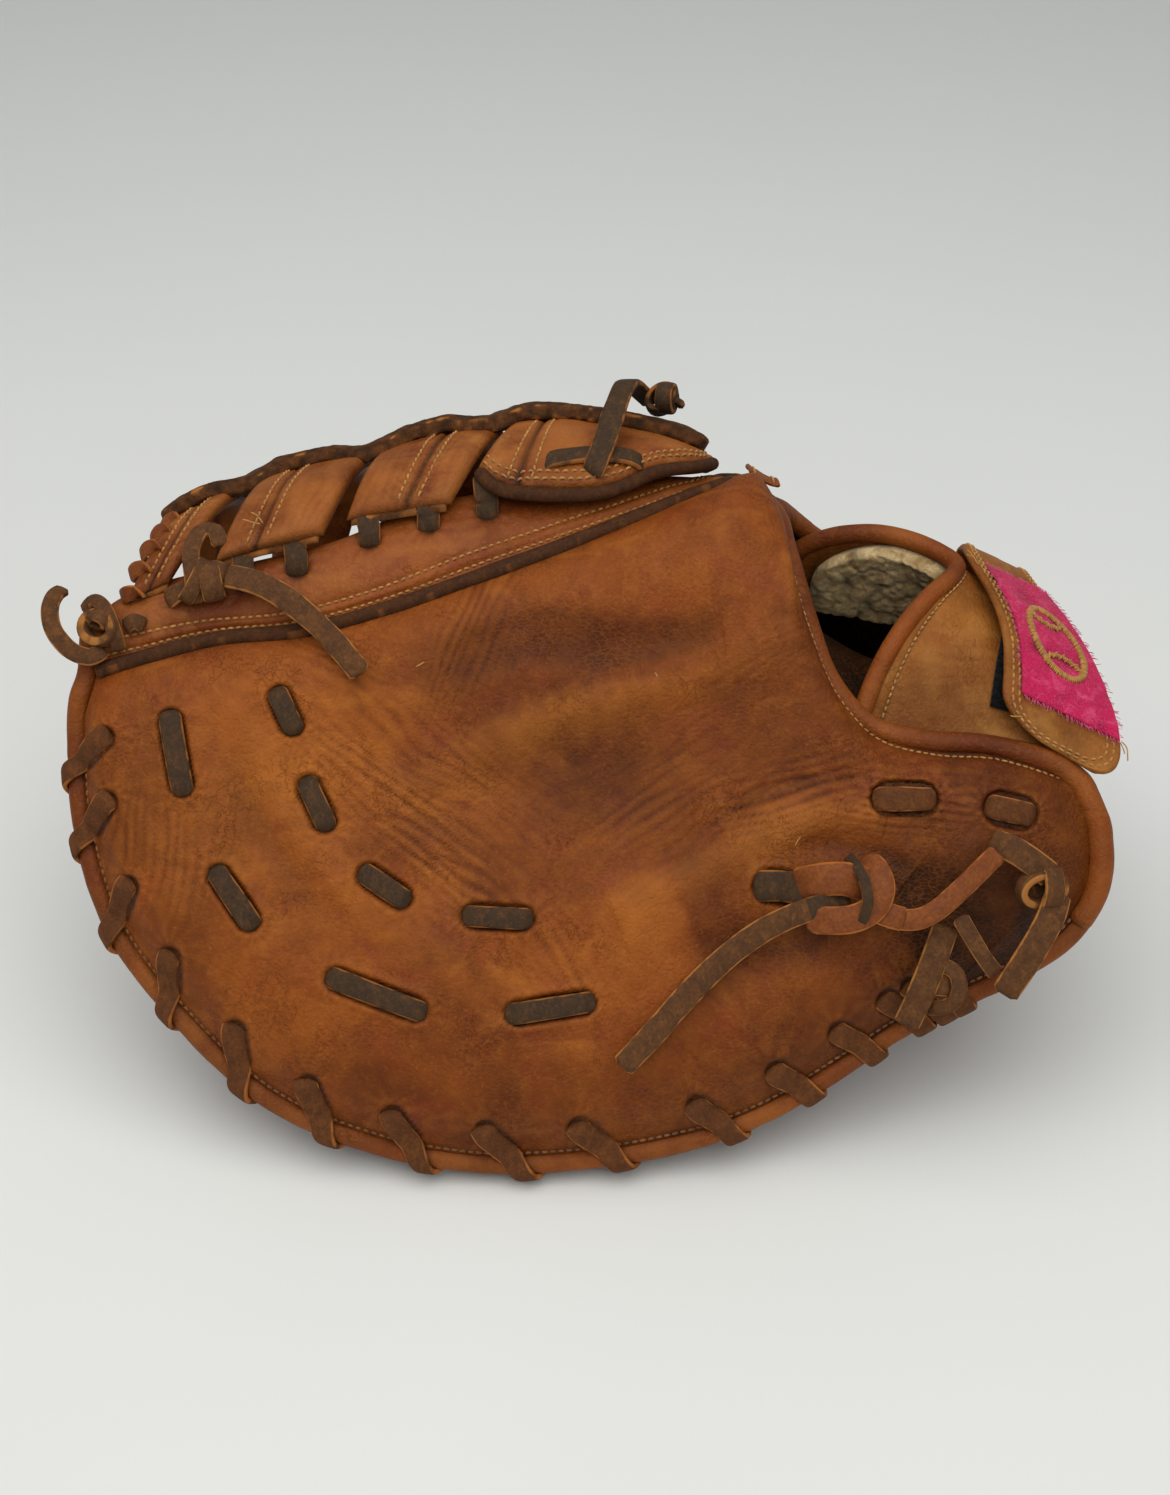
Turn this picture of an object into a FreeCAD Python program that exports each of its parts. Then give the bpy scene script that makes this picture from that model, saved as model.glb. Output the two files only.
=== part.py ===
"""First baseman's mitt, worn on the left hand, standing on its rims like a tent.

Frame: +X runs from the finger tips to the wrist, +Y from the finger half to the thumb half, +Z up.
The origin is on the floor under the middle of the bounding box. Lengths are in millimetres.

The two halves are flat faces joined by a rounded spine, so every leather part is laid out on that
folded sheet: s runs along X, t is the distance up a half's own face from the floor line and on
round the spine, and h stands square to the sheet, outwards. The palm lies inside it, on a fold of
its own whose depth below the back is PALM_DEPTH.
"""
import FreeCAD, Part
import math
import os

V = FreeCAD.Vector

# ---------------------------------------------------------------- driving dimensions
FINGER_SLOPE = math.radians(52)     # finger half's face, from the floor
THUMB_SLOPE = math.radians(68)      # thumb half's face, from the floor
SPINE_R = 34                        # outside radius of the spine
SPINE_TURN = FINGER_SLOPE + THUMB_SLOPE
PALM_SPINE_R = 25                   # radius of the palm's crease, at the spine
LEATHER = 2.6                       # shell leather
THIN_LEATHER = 1.6                  # linings and finger stall liners
LACE_WIDTH, LACE_THICK = 6.2, 2.2
WELT_R = 4.0                        # rolled welt round the rim
RIM_INSET = 8.8                     # rim line to the edge of the shells
EDGE_HEIGHT = 4.0                   # shell leather above the middle of the rim
CLEAR = 0.9                         # between sewn layers
FLOOR_SHIFT = V(2.37, -112.39, 7.45) # puts the origin under the middle of the box

# height of the spine's outline above the floor line, measured square to the finger half's face
CREST = [(-160, 180), (-130, 195), (-90, 205), (-40, 213), (0, 214), (30, 212.5), (48, 209.5),
         (58, 204), (80, 202), (100, 200), (165, 196)]
# depth of the palm's crease below the back, along the spine
PALM_DEPTH = [(-160, 9), (30, 9), (60, 20), (95, 30), (160, 34)]

# each row pairs a point of the rim (s, t) with one of the back shell's inner edge (s, rise): the
# seam under the web, then the edge of the back opening, then the wrist
FINGER_FAN = [
    (-159, 134, -150, 151), (-157, 104, -136, 155), (-147, 72, -112, 161), (-126.5, 44.5, -86, 163.5),
    (-99.5, 19.5, -60, 170.5), (-68, 5.5, -33, 180), (-33, -1, -8, 188), (2, 0.5, 16, 196.5),
    (32, 6, 36, 204), (54, 14, 50, 207.5), (70, 23, 58.5, 199), (84, 32, 62, 183),
    (98, 41, 68, 163), (114, 49, 75, 146), (130, 56.5, 87, 132.5), (148, 68, 104, 127.5),
    (158, 83, 124, 126), (160, 100, 148, 119)]
THUMB_FAN = [
    (-142, 84, -138, 94), (-140, 70, -126, 91), (-132, 52, -108, 91), (-117, 35, -88, 98),
    (-96, 21, -64, 106), (-70, 10, -38, 112), (-40, 3, -13, 120), (-8, 0, 10, 128),
    (24, 2, 30, 141), (52, 10, 48, 159), (76, 20, 59, 152), (97, 32, 68, 138),
    (114, 43, 80, 125), (128, 54, 94, 115), (141, 66, 110, 109), (150, 80, 128, 106),
    (153, 95, 143, 108)]
# the palm's inner edge, one value for each row above: s, and how far round the crease (radians)
FINGER_PALM_TOP = [
    (-152, .30), (-146, .45), (-129, .62), (-104, .70), (-78, .76), (-50, .82), (-22, .84),
    (4, .84), (28, .80), (44, .55), (56, .0), (68, .0), (82, .0), (97, .0), (112, .0),
    (127, .0), (140, .0), (149, .0)]
THUMB_PALM_TOP = [
    (-139, -.9), (-131, -1.0), (-114, -.95), (-92, -.75), (-68, -.55), (-42, -.4), (-16, -.25),
    (8, -.1), (28, .2), (44, .4), (56, .0), (68, .0), (82, .0), (97, .0), (112, .0),
    (127, .0), (140, .0)]
# the band above each seam, which carries the web: its upper edge, for the fans' first rows
FINGER_BAND_TOP = [(-153, 162), (-146, 171), (-129, 178), (-104, 183.5), (-78, 190), (-50, 201),
                   (-22, 206.5), (2, 208.5), (26, 210.5), (44, 209.5)]
THUMB_BAND_TOP = [(-139, 104), (-129, 104), (-112, 103), (-88, 114), (-63, 122), (-36, 128),
                  (-12, 136), (10, 146), (28, 156), (42, 164)]


# ---------------------------------------------------------------- curves and the folded sheet
def smooth(points, x):
    """y at x on a smooth curve through (x, y) points."""
    x = min(max(x, points[0][0]), points[-1][0])
    n = max(i for i in range(len(points) - 1) if points[i][0] <= x)
    slope = []
    for i in (n, n + 1):
        a, b = points[max(i - 1, 0)], points[min(i + 1, len(points) - 1)]
        slope.append((b[1] - a[1]) / (b[0] - a[0]))
    (x0, y0), (x1, y1) = points[n], points[n + 1]
    w = x1 - x0
    k = (x - x0) / w
    return ((2 * k**3 - 3 * k**2 + 1) * y0 + (k**3 - 2 * k**2 + k) * w * slope[0]
            + (3 * k**2 - 2 * k**3) * y1 + (k**3 - k**2) * w * slope[1])


def along(points, u):
    """The point at u, from 0 to 1, on a smooth curve through tuples of numbers."""
    x = min(max(u, 0), 1) * (len(points) - 1)
    n = min(int(x), len(points) - 2)
    k = x - n
    p = [points[min(max(i, 0), len(points) - 1)] for i in range(n - 1, n + 3)]
    return tuple(
        0.5 * (2 * b + (c - a) * k + (2 * a - 5 * b + 4 * c - d) * k**2
               + (3 * b - a - 3 * c + d) * k**3)
        for a, b, c, d in zip(*p))


def fold_start(s):
    """How far up the finger half's face the spine's bend begins."""
    return smooth(CREST, s) - SPINE_R


def spine_centre(s):
    g = fold_start(s)
    return (g * math.cos(FINGER_SLOPE) + SPINE_R * math.sin(FINGER_SLOPE),
            g * math.sin(FINGER_SLOPE) - SPINE_R * math.cos(FINGER_SLOPE))


class Half:
    """One half of the folded sheet, with t measured up its own face."""

    def __init__(self, name, slope, side):
        self.name, self.slope, self.side = name, slope, side

    def face_length(self, s):
        """Length of the face, from the floor line to the start of the spine's bend."""
        if self.side > 0:
            return fold_start(s)
        z = spine_centre(s)[1] + SPINE_R * math.cos(self.slope)
        return z / math.sin(self.slope)

    def normal(self, turn):
        """Outward direction in Y and Z, after turning that far round the spine."""
        lean = self.slope - turn
        return -self.side * math.sin(lean), math.cos(lean)

    def bend(self, s, t, h, radius, start, centre):
        """A point on the face below start, or on an arc of that radius above it."""
        turn = max(0, (t - start) / radius)
        ny, nz = self.normal(turn)
        y, z = centre[0] + (radius + h) * ny, centre[1] + (radius + h) * nz
        if t < start:
            y -= (start - t) * math.cos(self.slope) * self.side
            z -= (start - t) * math.sin(self.slope)
        return V(s, y, z)

    def back(self, s, t, h):
        """A point h outside the folded sheet."""
        return self.bend(s, t, h, SPINE_R, self.face_length(s), spine_centre(s))

    def palm_start(self, s):
        """How far up the face the palm's own bend begins."""
        loss = smooth(PALM_DEPTH, s) + PALM_SPINE_R - SPINE_R
        return self.face_length(s) - loss / math.tan(math.pi / 2 - SPINE_TURN / 2)

    def palm(self, s, t, lift):
        """A point lift outside the palm's own folded sheet."""
        drop = (smooth(PALM_DEPTH, s) + PALM_SPINE_R - SPINE_R) / math.cos(SPINE_TURN / 2)
        ny, nz = FINGER.normal(SPINE_TURN / 2)
        y, z = spine_centre(s)
        centre = (y - drop * ny, z - drop * nz)
        return self.bend(s, t, lift, PALM_SPINE_R, self.palm_start(s), centre)

    def from_rise(self, s, rise):
        """The distance t of a point whose height is measured square to the finger half."""
        over = rise - self.face_length(s)
        if over <= 0:
            return rise
        return self.face_length(s) + SPINE_R * math.asin(min(over / SPINE_R, 0.999))


FINGER = Half("finger", FINGER_SLOPE, 1)
THUMB = Half("thumb", THUMB_SLOPE, -1)


def over(s, turn, h):
    """A point over the spine: turn is in degrees from the end of the finger half's face."""
    half, own = (FINGER, turn) if turn < math.degrees(SPINE_TURN) / 2 else (
        THUMB, math.degrees(SPINE_TURN) - turn)
    return half.back(s, half.face_length(s) + SPINE_R * math.radians(own), h)


# ---------------------------------------------------------------- solids
def surface_through(grid):
    surface = Part.BSplineSurface()
    surface.interpolate(grid)
    return surface


def closed_solid(faces):
    shell = Part.makeShell(faces)
    shell.sewShape()
    solid = Part.Solid(shell.Shells[0])
    if solid.Volume < 0:
        solid.reverse()
    return solid


def slab(outer, inner):
    """A curved sheet between two grids of points, with ruled sides."""
    a, b = surface_through(outer), surface_through(inner)
    (a0, a1, a2, a3), (b0, b1, b2, b3) = a.bounds(), b.bounds()
    edges = [(a.uIso(a0), b.uIso(b0)), (a.uIso(a1), b.uIso(b1)),
             (a.vIso(a2), b.vIso(b2)), (a.vIso(a3), b.vIso(b3))]
    sides = [Part.makeRuledSurface(p.toShape(), q.toShape()) for p, q in edges]
    return closed_solid([a.toShape(), b.toShape()] + sides)


def rails(curves):
    """A solid between lengthwise curves, each a list of points, with flat ends."""
    lines = []
    for points in curves:
        line = Part.BSplineCurve()
        line.interpolate(points)
        lines.append(line.toShape())
    faces = [Part.makeRuledSurface(p, q) for p, q in zip(lines, lines[1:] + lines[:1])]
    for n in (0, -1):
        faces.append(Part.Face(Part.makePolygon([c[n] for c in curves] + [curves[0][n]])))
    return closed_solid(faces)


def tangents(points):
    last = len(points) - 1
    return [(points[min(n + 1, last)] - points[max(n - 1, 0)]).normalize()
            for n in range(len(points))]


def roll(points, radius, sides=6):
    """A round roll of leather along a list of points, with a many-sided section."""
    curves = [[] for _ in range(sides)]
    across = V(0, 0, 1)
    for p, ahead in zip(points, tangents(points)):
        across = across - ahead * across.dot(ahead)
        if across.Length < 0.1:
            across = ahead.cross(V(1, 0, 0))
        across.normalize()
        beside = ahead.cross(across)
        for k in range(sides):
            a = 2 * math.pi * k / sides
            curves[k].append(p + across * (radius * math.cos(a)) + beside * (radius * math.sin(a)))
    return rails(curves)


def strip(points, ups, width=LACE_WIDTH, thick=LACE_THICK):
    """A flat strip whose underside follows the points, with its faces square to ups."""
    curves = [[], [], [], []]
    for p, up, ahead in zip(points, ups, tangents(points)):
        side = ahead.cross(up).normalize() * (width / 2)
        rise = side.cross(ahead).normalize() * thick
        for curve, q in zip(curves, (p - side, p + side, p + side + rise, p - side + rise)):
            curve.append(q)
    return rails(curves)


def laid(place, points, steps=8, **size):
    """A lace strip on the sheet, along a smooth curve through (s, t, h) points."""
    route = [along(points, n / steps) for n in range(steps + 1)]
    spots = [place(*p) for p in route]
    ups = [place(s, t, h + 1) - place(s, t, h) for s, t, h in route]
    return strip(spots, ups, **size)


def ball(centre, radius):
    return Part.makeSphere(radius, centre)


# ---------------------------------------------------------------- shells of each half
def rim_at(fan, u, inset):
    """A point (s, t) inside the rim line by that much."""
    s, t, top_s, top_t = along(fan, u)
    a, b = along(fan, u - 0.01), along(fan, u + 0.01)
    ds, dt = b[0] - a[0], b[1] - a[1]
    size = math.hypot(ds, dt)
    ns, nt = -dt / size, ds / size
    if ns * (top_s - s) + nt * (top_t - t) < 0:
        ns, nt = -ns, -nt
    return s + ns * inset, t + nt * inset


def seam_at(half, fan, u):
    """A point (s, t) of the back shell's inner edge."""
    s, t = along(fan, u)[2:]
    return (s, half.from_rise(s, t)) if half is FINGER else (s, t)


def back_height(s, t, d, e):
    """Outside of the back shell above the folded sheet: d from the rim edge, e from the seam."""
    swell = 13 * (1 - math.exp(-d / 11)) * (1 - math.exp(-e / 10))
    dent = 7 * math.exp(-((s + 15) / 75)**2 - ((t - 125) / 34)**2) * (1 - math.exp(-e / 25))
    return EDGE_HEIGHT + swell - dent


def back_grid(half, fan, depth, across=9, lengths=26):
    grid = []
    for i in range(lengths + 1):
        u = i / lengths
        s0, t0 = rim_at(fan, u, RIM_INSET)
        s1, t1 = seam_at(half, fan, u)
        width = math.hypot(s1 - s0, t1 - t0)
        row = []
        for j in range(across + 1):
            b = j / across
            s, t = s0 + (s1 - s0) * b, t0 + (t1 - t0) * b
            h = back_height(s, t, b * width, (1 - b) * width)
            row.append(half.back(s, t, h - depth))
        grid.append(row)
    return grid


def palm_grid(half, fan, tops, raise_by, span=(0, 1), b_span=(0, 1), across=9, lengths=26):
    grid = []
    for i in range(lengths + 1):
        u = span[0] + (span[1] - span[0]) * i / lengths
        s0, t0 = rim_at(fan, u, RIM_INSET)
        s1, turn = along(tops, u)
        t1 = half.palm_start(s1) - 1 + PALM_SPINE_R * turn
        width = math.hypot(s1 - s0, t1 - t0)
        row = []
        for j in range(across + 1):
            b = b_span[0] + (b_span[1] - b_span[0]) * j / across
            s, t = s0 + (s1 - s0) * b, t0 + (t1 - t0) * b
            depth = smooth(PALM_DEPTH, s)
            near_rim = math.exp(-b * width / 20)
            belly = max(0, 22 - depth) * (1 - near_rim) * (1 - math.exp(-(1 - b) * width / 20))
            lift = (depth - EDGE_HEIGHT) * near_rim - belly
            row.append(half.palm(s, t, lift + raise_by))
        grid.append(row)
    return grid


def make_shells(half, fan, tops):
    """Back shell, palm, pad and finger stall liner, from the outside to the pocket."""
    parts = {}
    parts["back_shell"] = slab(back_grid(half, fan, 0), back_grid(half, fan, LEATHER))
    parts["palm"] = slab(palm_grid(half, fan, tops, LEATHER), palm_grid(half, fan, tops, 0))
    under = LEATHER + CLEAR
    over_pad = under + 5
    inside = dict(span=(0.06, 0.86), lengths=18)
    parts["pad"] = slab(palm_grid(half, fan, tops, over_pad, b_span=(0.12, 0.6), **inside),
                        palm_grid(half, fan, tops, under, b_span=(0.12, 0.6), **inside))
    liner = over_pad + CLEAR
    parts["stall_liner"] = slab(
        palm_grid(half, fan, tops, liner + THIN_LEATHER, b_span=(0.14, 0.8), **inside),
        palm_grid(half, fan, tops, liner, b_span=(0.14, 0.8), **inside))
    return parts


def make_rim(half, fan, stitches):
    """The rolled welt round the rim, and the lace whipped over it."""
    steps = 34
    welt = roll([half.back(*rim_at(fan, n / steps, WELT_R), 0) for n in range(steps + 1)],
                WELT_R)
    loops = []
    for n in range(stitches):
        u = (n + 0.6) / (stitches + 0.3)
        loop = [(*rim_at(fan, u - 0.012, 15), 14), (*rim_at(fan, u - 0.006, 8), 10.5),
                (*rim_at(fan, u, 0.5), 5.5), (*rim_at(fan, u + 0.003, -0.6), 0),
                (*rim_at(fan, u + 0.006, 0.5), -5.5), (*rim_at(fan, u + 0.01, 9), -13.5)]
        spots = [half.back(*p) for p in loop]
        middle = half.back(*rim_at(fan, u, 12), 0)
        loops.append(strip(spots, [p - middle for p in spots]))
    return {"rim_welt": welt, "rim_lace": Part.makeCompound(loops)}


def make_band(half, fan, tops, rows):
    """The band above the seam and the dark binding over the seam."""
    share = (len(tops) - 1) / (len(fan) - 1)
    outer, inner = [], []
    steps = 16
    for i in range(steps + 1):
        u = i / steps
        s0, t0 = seam_at(half, fan, u * share)
        s1, t1 = along(tops, u)
        if half is FINGER:
            t1 = half.from_rise(s1, t1)
        width = math.hypot(s1 - s0, t1 - t0)
        first = 1.2 / width
        spots = [(s0 + (s1 - s0) * b, t0 + (t1 - t0) * b)
                 for b in (first + (1 - first) * j / rows for j in range(rows + 1))]
        outer.append([half.back(s, t, EDGE_HEIGHT) for s, t in spots])
        inner.append([half.back(s, t, EDGE_HEIGHT - LEATHER) for s, t in spots])
    binding_r = 2.0
    seam = [half.back(*seam_at(half, fan, share * n / steps), EDGE_HEIGHT + binding_r + 0.7)
            for n in range(steps + 1)]
    return {"web_band": slab(outer, inner), "band_binding": roll(seam, binding_r)}


def make_window_piping(half, fan, first):
    """The rolled edge of the back opening and the wrist."""
    piping_r = 3.2
    steps = 18
    spots = []
    for n in range(steps + 1):
        u = first + (0.985 - first) * n / steps
        s0, t0 = rim_at(fan, u, RIM_INSET)
        s1, t1 = seam_at(half, fan, u)
        width = math.hypot(s1 - s0, t1 - t0)
        reach = 1 + (piping_r + 0.3) / width
        spots.append(half.back(s0 + (s1 - s0) * reach, t0 + (t1 - t0) * reach,
                               EDGE_HEIGHT - LEATHER / 2))
    return {"window_piping": roll(spots, piping_r)}


def make_loop(half, s, t, low, high, width):
    """A strap inside the hand space that holds one finger."""
    arch = [(s, t - 15, low), (s, t - 11, (low + high) / 2), (s, t, high),
            (s, t + 11, (low + high) / 2), (s, t + 15, low)]
    return laid(half.back, arch, width=width, thick=1.6)


def make_heel_pad(half, fan, tops):
    """The stiff pad in the heel, between the palm and the hand."""
    where = dict(span=(0.87, 0.985), b_span=(0.12, 0.7), across=6, lengths=8)
    low, high = LEATHER + CLEAR, LEATHER + CLEAR + 6
    return slab(palm_grid(half, fan, tops, high, **where),
                palm_grid(half, fan, tops, low, **where))


# ---------------------------------------------------------------- pieces that cross the spine
# height of the web's outside above the folded sheet, along the spine, and of the bars' ends
WEB_CREST = [(-135, 13), (-104, 18.5), (-79, 19.5), (-62, 21), (-42, 23.5), (-12, 25.5),
             (16, 22.5), (34, 18.5), (46, 13)]
BAR_FOOT = [(-135, 4.8), (-105, 6.5), (45, 6.5)]
BAR_THICK = [(-135, 3.2), (-105, 5.0), (45, 5.0)]
STRAP_THICK = 4.5
# the web's four pieces, as lines from the finger end to the thumb end: s and turn in degrees
WEB_BARS = {
    "web_bar_a": [[(-141, 24), (-135, 52), (-131, 88), (-131, 122), (-131, 158)],
                  [(-128, 24), (-118, 52), (-110, 88), (-113, 122), (-119, 158)]],
    "web_bar_b": [[(-111, 32), (-102, 55), (-93, 88), (-99, 122), (-106, 150)],
                  [(-80, 32), (-74, 55), (-70, 88), (-77, 122), (-84, 150)]],
    "web_bar_c": [[(-73, 40), (-68, 60), (-63, 88), (-66, 120), (-70, 142)],
                  [(-40, 40), (-34, 60), (-28, 88), (-35, 120), (-44, 142)]],
    "web_base": [[(-34, 47), (-23, 88), (-31, 136)], [(-24, 37), (-14, 88), (-20, 140)],
                 [(4, 37), (6, 88), (4, 137)], [(22, 50), (22, 88), (18, 124)],
                 [(34, 60), (34, 87), (31, 110)], [(40, 74), (41, 84), (40, 94)]]}


def bar_spot(lines, across, u):
    """The point (s, turn) across a bar and u of the way along it."""
    return along([along([line[k] for line in lines], across) for k in range(len(lines[0]))], u)


def web_height(s, turn):
    """Outside of the bars above the folded sheet: highest at the spine, low at both ends."""
    crown = smooth(WEB_CREST, s) - STRAP_THICK - CLEAR
    foot = smooth(BAR_FOOT, s) + smooth(BAR_THICK, s)
    rise = math.sin(math.radians(min(max((turn - 30) / 116, 0), 1) * 180)) ** 0.7
    return foot + max(crown - foot, 0) * rise


def make_web_bars():
    parts = {}
    steps, wide = 12, 6
    for name, lines in WEB_BARS.items():
        spots = [[bar_spot(lines, j / wide, i / steps) for j in range(wide + 1)]
                 for i in range(steps + 1)]
        outer = [[over(s, a, web_height(s, a)) for s, a in row] for row in spots]
        inner = [[over(s, a, web_height(s, a) - smooth(BAR_THICK, s)) for s, a in row]
                 for row in spots]
        parts[name] = slab(outer, inner)
    return parts


def make_web_trim():
    """The thick strap along the spine, the binding round the base and the web's laces."""
    parts = {}
    outer, inner = [], []
    first, last, half_width = -134, 37, 12
    for i in range(15):
        s = first + (last - first) * i / 14
        top = smooth(WEB_CREST, s)
        turns = [88 + half_width * (j / 2 - 1) for j in range(5)]
        outer.append([over(s, a, top) for a in turns])
        inner.append([over(s, a, top - STRAP_THICK) for a in turns])
    parts["web_spine_strap"] = slab(outer, inner)
    binding_r = 1.8
    spots = [bar_spot(WEB_BARS["web_base"], n / 14, 0) for n in range(15)]
    edge = [over(s, a - 3.2, web_height(s, a) - 2.5) for s, a in spots]
    parts["web_base_binding"] = roll(edge, binding_r)
    for name, ends in (
            ("web_lace_finger", [(-107, 19, 34), (-91, 20, 34), (-68, 30, 42), (-49, 33, 43),
                                 (-34, 36, 46)]),
            ("web_lace_thumb", [(-101, 168, 152), (-88, 166, 152), (-66, 158, 144),
                                (-49, 157, 144), (-28, 151, 138), (8, 145, 134)])):
        loops = []
        for s, foot, head in ends:
            middle = (foot + head) / 2
            arch = [(s, foot, EDGE_HEIGHT + 0.6), (s, middle, 11.5),
                    (s, head, web_height(s, head) + 1.0)]
            loops.append(laid(over, arch))
        parts[name] = Part.makeCompound(loops)
    whips = []
    for turn in (30, 52, 74, 118, 140):
        s = bar_spot(WEB_BARS["web_bar_a"], 0, (turn - 24) / 134)[0]
        top = web_height(s, turn)
        hem = [over(s - 1.5, turn, top + 1), over(s - 4, turn + 2, top - 2.5),
               over(s - 1.5, turn + 4, top - 6.5)]
        core = over(s + 20, turn + 2, top - 2.5)
        whips.append(strip(hem, [p - core for p in hem], width=5))
    parts["web_edge_lace"] = Part.makeCompound(whips)
    dash = laid(over, [(-10, 47, 16.5), (2, 47, 17.5), (13, 47, 16.5)], width=7.5)
    loop = laid(over, [(4, 41, 19.5), (7, 56, 22.5), (11, 72, 29), (14, 88, 31)])
    knot = ball(over(24, 92, 29), 5)
    parts["crotch_lace"] = Part.makeCompound([dash, loop, knot])
    cover = [[over(s, a, 11.9) for a in (66, 71, 76, 81, 86)] for s in (51, 54, 57, 60)]
    under = [[over(s, a, 10.3) for a in (66, 71, 76, 81, 86)] for s in (51, 54, 57, 60)]
    parts["spine_seam_strip"] = slab(cover, under)
    return parts


def make_palm_crease():
    """The palm's crease, from one palm to the other under the spine."""
    grids = [], []
    for i in range(13):
        s = 58 + (152 - 58) * i / 12
        for grid, lift in zip(grids, (LEATHER, 0)):
            row = []
            for j in range(9):
                own = SPINE_TURN * j / 8
                half, turn = (FINGER, own) if j <= 4 else (THUMB, SPINE_TURN - own)
                row.append(half.palm(s, half.palm_start(s) + PALM_SPINE_R * turn, lift))
            grid.append(row)
    return slab(*grids)


# the wrist band, from its finger end over the wrist to its thumb end: its edge towards the web
# and its edge towards the arm, as X, Y and Z before the shift to the origin
BAND_WEB_EDGE = [(80, 80.4, 99.6), (84, 86.5, 109), (90, 96, 120), (98, 107, 128),
                 (107, 118, 132), (115, 128, 133), (117, 136, 132.5), (112, 143, 133),
                 (102, 148.5, 134.5), (91, 152, 134.5), (79, 154.5, 131.5), (69, 157, 125),
                 (66, 160, 114), (68, 163, 103)]
BAND_ARM_EDGE = [(150, 70.5, 87), (150, 77, 96), (149, 86, 104), (147, 95, 109.5),
                 (145, 105, 113), (143, 115, 114.5), (142, 124, 115), (141, 133, 114.5),
                 (141, 141, 113), (141, 147, 110.5), (141, 152, 107), (141, 156, 102),
                 (141, 159, 96), (141, 161, 90)]
# the strap over it, from its loose end to its root: edge towards the web, edge towards the arm
STRAP_WEB_EDGE = [(133, 76.5, 107.5), (127, 83, 115.5), (127.5, 92, 121), (128, 101, 126.5),
                  (127, 111, 130.3), (125, 121, 132.5), (122.5, 131, 133.5), (121, 140, 133.5),
                  (121, 148.5, 131), (121, 156, 126), (121, 161.5, 119.5), (121, 165, 112)]
STRAP_ARM_EDGE = [(158, 66.5, 97.5), (162.5, 74, 101), (162, 82.5, 106.5), (159.5, 96, 111),
                  (156, 108, 115.5), (151.5, 120, 118.5), (147, 131, 120.5), (144.5, 141, 120.5),
                  (143.5, 150, 118.5), (143.5, 157.5, 113.5), (143.5, 162.5, 107),
                  (143.5, 165, 100)]
OUTWARD = -1        # the normal of (along, towards the arm) points into the wrist
STRAP_RISE = 0.7            # outside of the strap above the sheet between its two edges
STRAP_TURNS_AT = 0.80       # share of the strap's length where it leaves its sewn root


def web_to_arm(edges, u, f):
    """A point on the sheet between two edges: u along them, f from one edge to the other."""
    a, b = (V(*along(edge, u)) for edge in edges)
    return a + (b - a) * f


def sheet_point(edges, u, f, height):
    """A point that far above the sheet between two edges."""
    ahead = web_to_arm(edges, u + 0.02, f) - web_to_arm(edges, u - 0.02, f)
    normal = ahead.cross(web_to_arm(edges, u, 1) - web_to_arm(edges, u, 0)).normalize()
    return web_to_arm(edges, u, f) + normal * height * OUTWARD


def sheet_grid(edges, u_span, f_span, height, lengths=20, across=5):
    return [[sheet_point(edges, u_span[0] + (u_span[1] - u_span[0]) * i / lengths,
                         f_span[0] + (f_span[1] - f_span[0]) * j / across, height)
             for j in range(across + 1)] for i in range(lengths + 1)]


def layer(edges, u_span, f_span, top, thick, **steps):
    return slab(sheet_grid(edges, u_span, f_span, top, **steps),
                sheet_grid(edges, u_span, f_span, top - thick, **steps))


def make_wrist():
    """The wrist band with its fleece, and the strap that closes over it."""
    band = (BAND_WEB_EDGE, BAND_ARM_EDGE)
    strap = (STRAP_WEB_EDGE, STRAP_ARM_EDGE)
    parts = {}
    parts["wrist_band"] = layer(band, (0, 1), (0.1, 1), 0, 2.2)
    parts["wrist_band_fleece"] = layer(band, (0.02, 0.98), (0.1, 0.96), -2.2 - CLEAR, 4.5)
    piping_r = 2.8
    parts["wrist_band_piping"] = roll(
        [web_to_arm(band, n / 24, 0) + V(0, 0, -1.2) for n in range(25)], piping_r)
    parts["wrist_loop_pad"] = layer(band, (0.14, 0.42), (0.5, 0.95), 0.4 + 1.2, 1.2)
    rise = STRAP_RISE
    parts["strap_flap"] = layer(strap, (0, STRAP_TURNS_AT), (0, 1), rise, LEATHER)
    parts["strap_root"] = layer(strap, (STRAP_TURNS_AT + 0.02, 1), (0, 1), rise, LEATHER, lengths=8)
    parts["strap_hook_pad"] = layer(strap, (0.06, 0.42), (0.1, 0.9), rise - LEATHER - 0.3, 1.0)
    parts["strap_patch"] = layer(strap, (0.13, 0.56), (0.14, 0.98), rise + 0.3 + 1.0, 1.0)
    ring = []
    for n in range(17):
        a = 2 * math.pi * n / 17
        ring.append(sheet_point(strap, 0.33 + 0.075 * math.cos(a), 0.56 + 0.2 * math.sin(a),
                                rise + 2.2))
    parts["strap_emblem"] = roll(ring, 0.6)
    return parts


# ---------------------------------------------------------------- laces, knots and loose ends
def skin(s, t):
    """Outside of the back shell where it is away from its edges."""
    return back_height(s, t, 60, 60)


# the lace dashes across the back of each half, as (s, t) of their two ends
FINGER_DASHES = [(-126, 138, -121.5, 113.5), (-112, 91, -100, 73.6), (-77.6, 59, -49, 48),
                 (-24, 47.5, 1.5, 51.5), (-94, 145, -88, 132), (-85, 118, -78, 103),
                 (-68, 90.5, -54, 81), (-37, 77, -17, 76)]
THUMB_DASHES = [(-116, 72, -106, 56), (-88, 42, -68, 35), (-40, 31, -16, 30), (12, 33, 34, 38),
                (-78, 70, -62, 62), (-34, 58, -14, 57)]
HEEL_DASHES = [(86, 112, 104, 112), (120, 110, 134, 107)]


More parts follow.
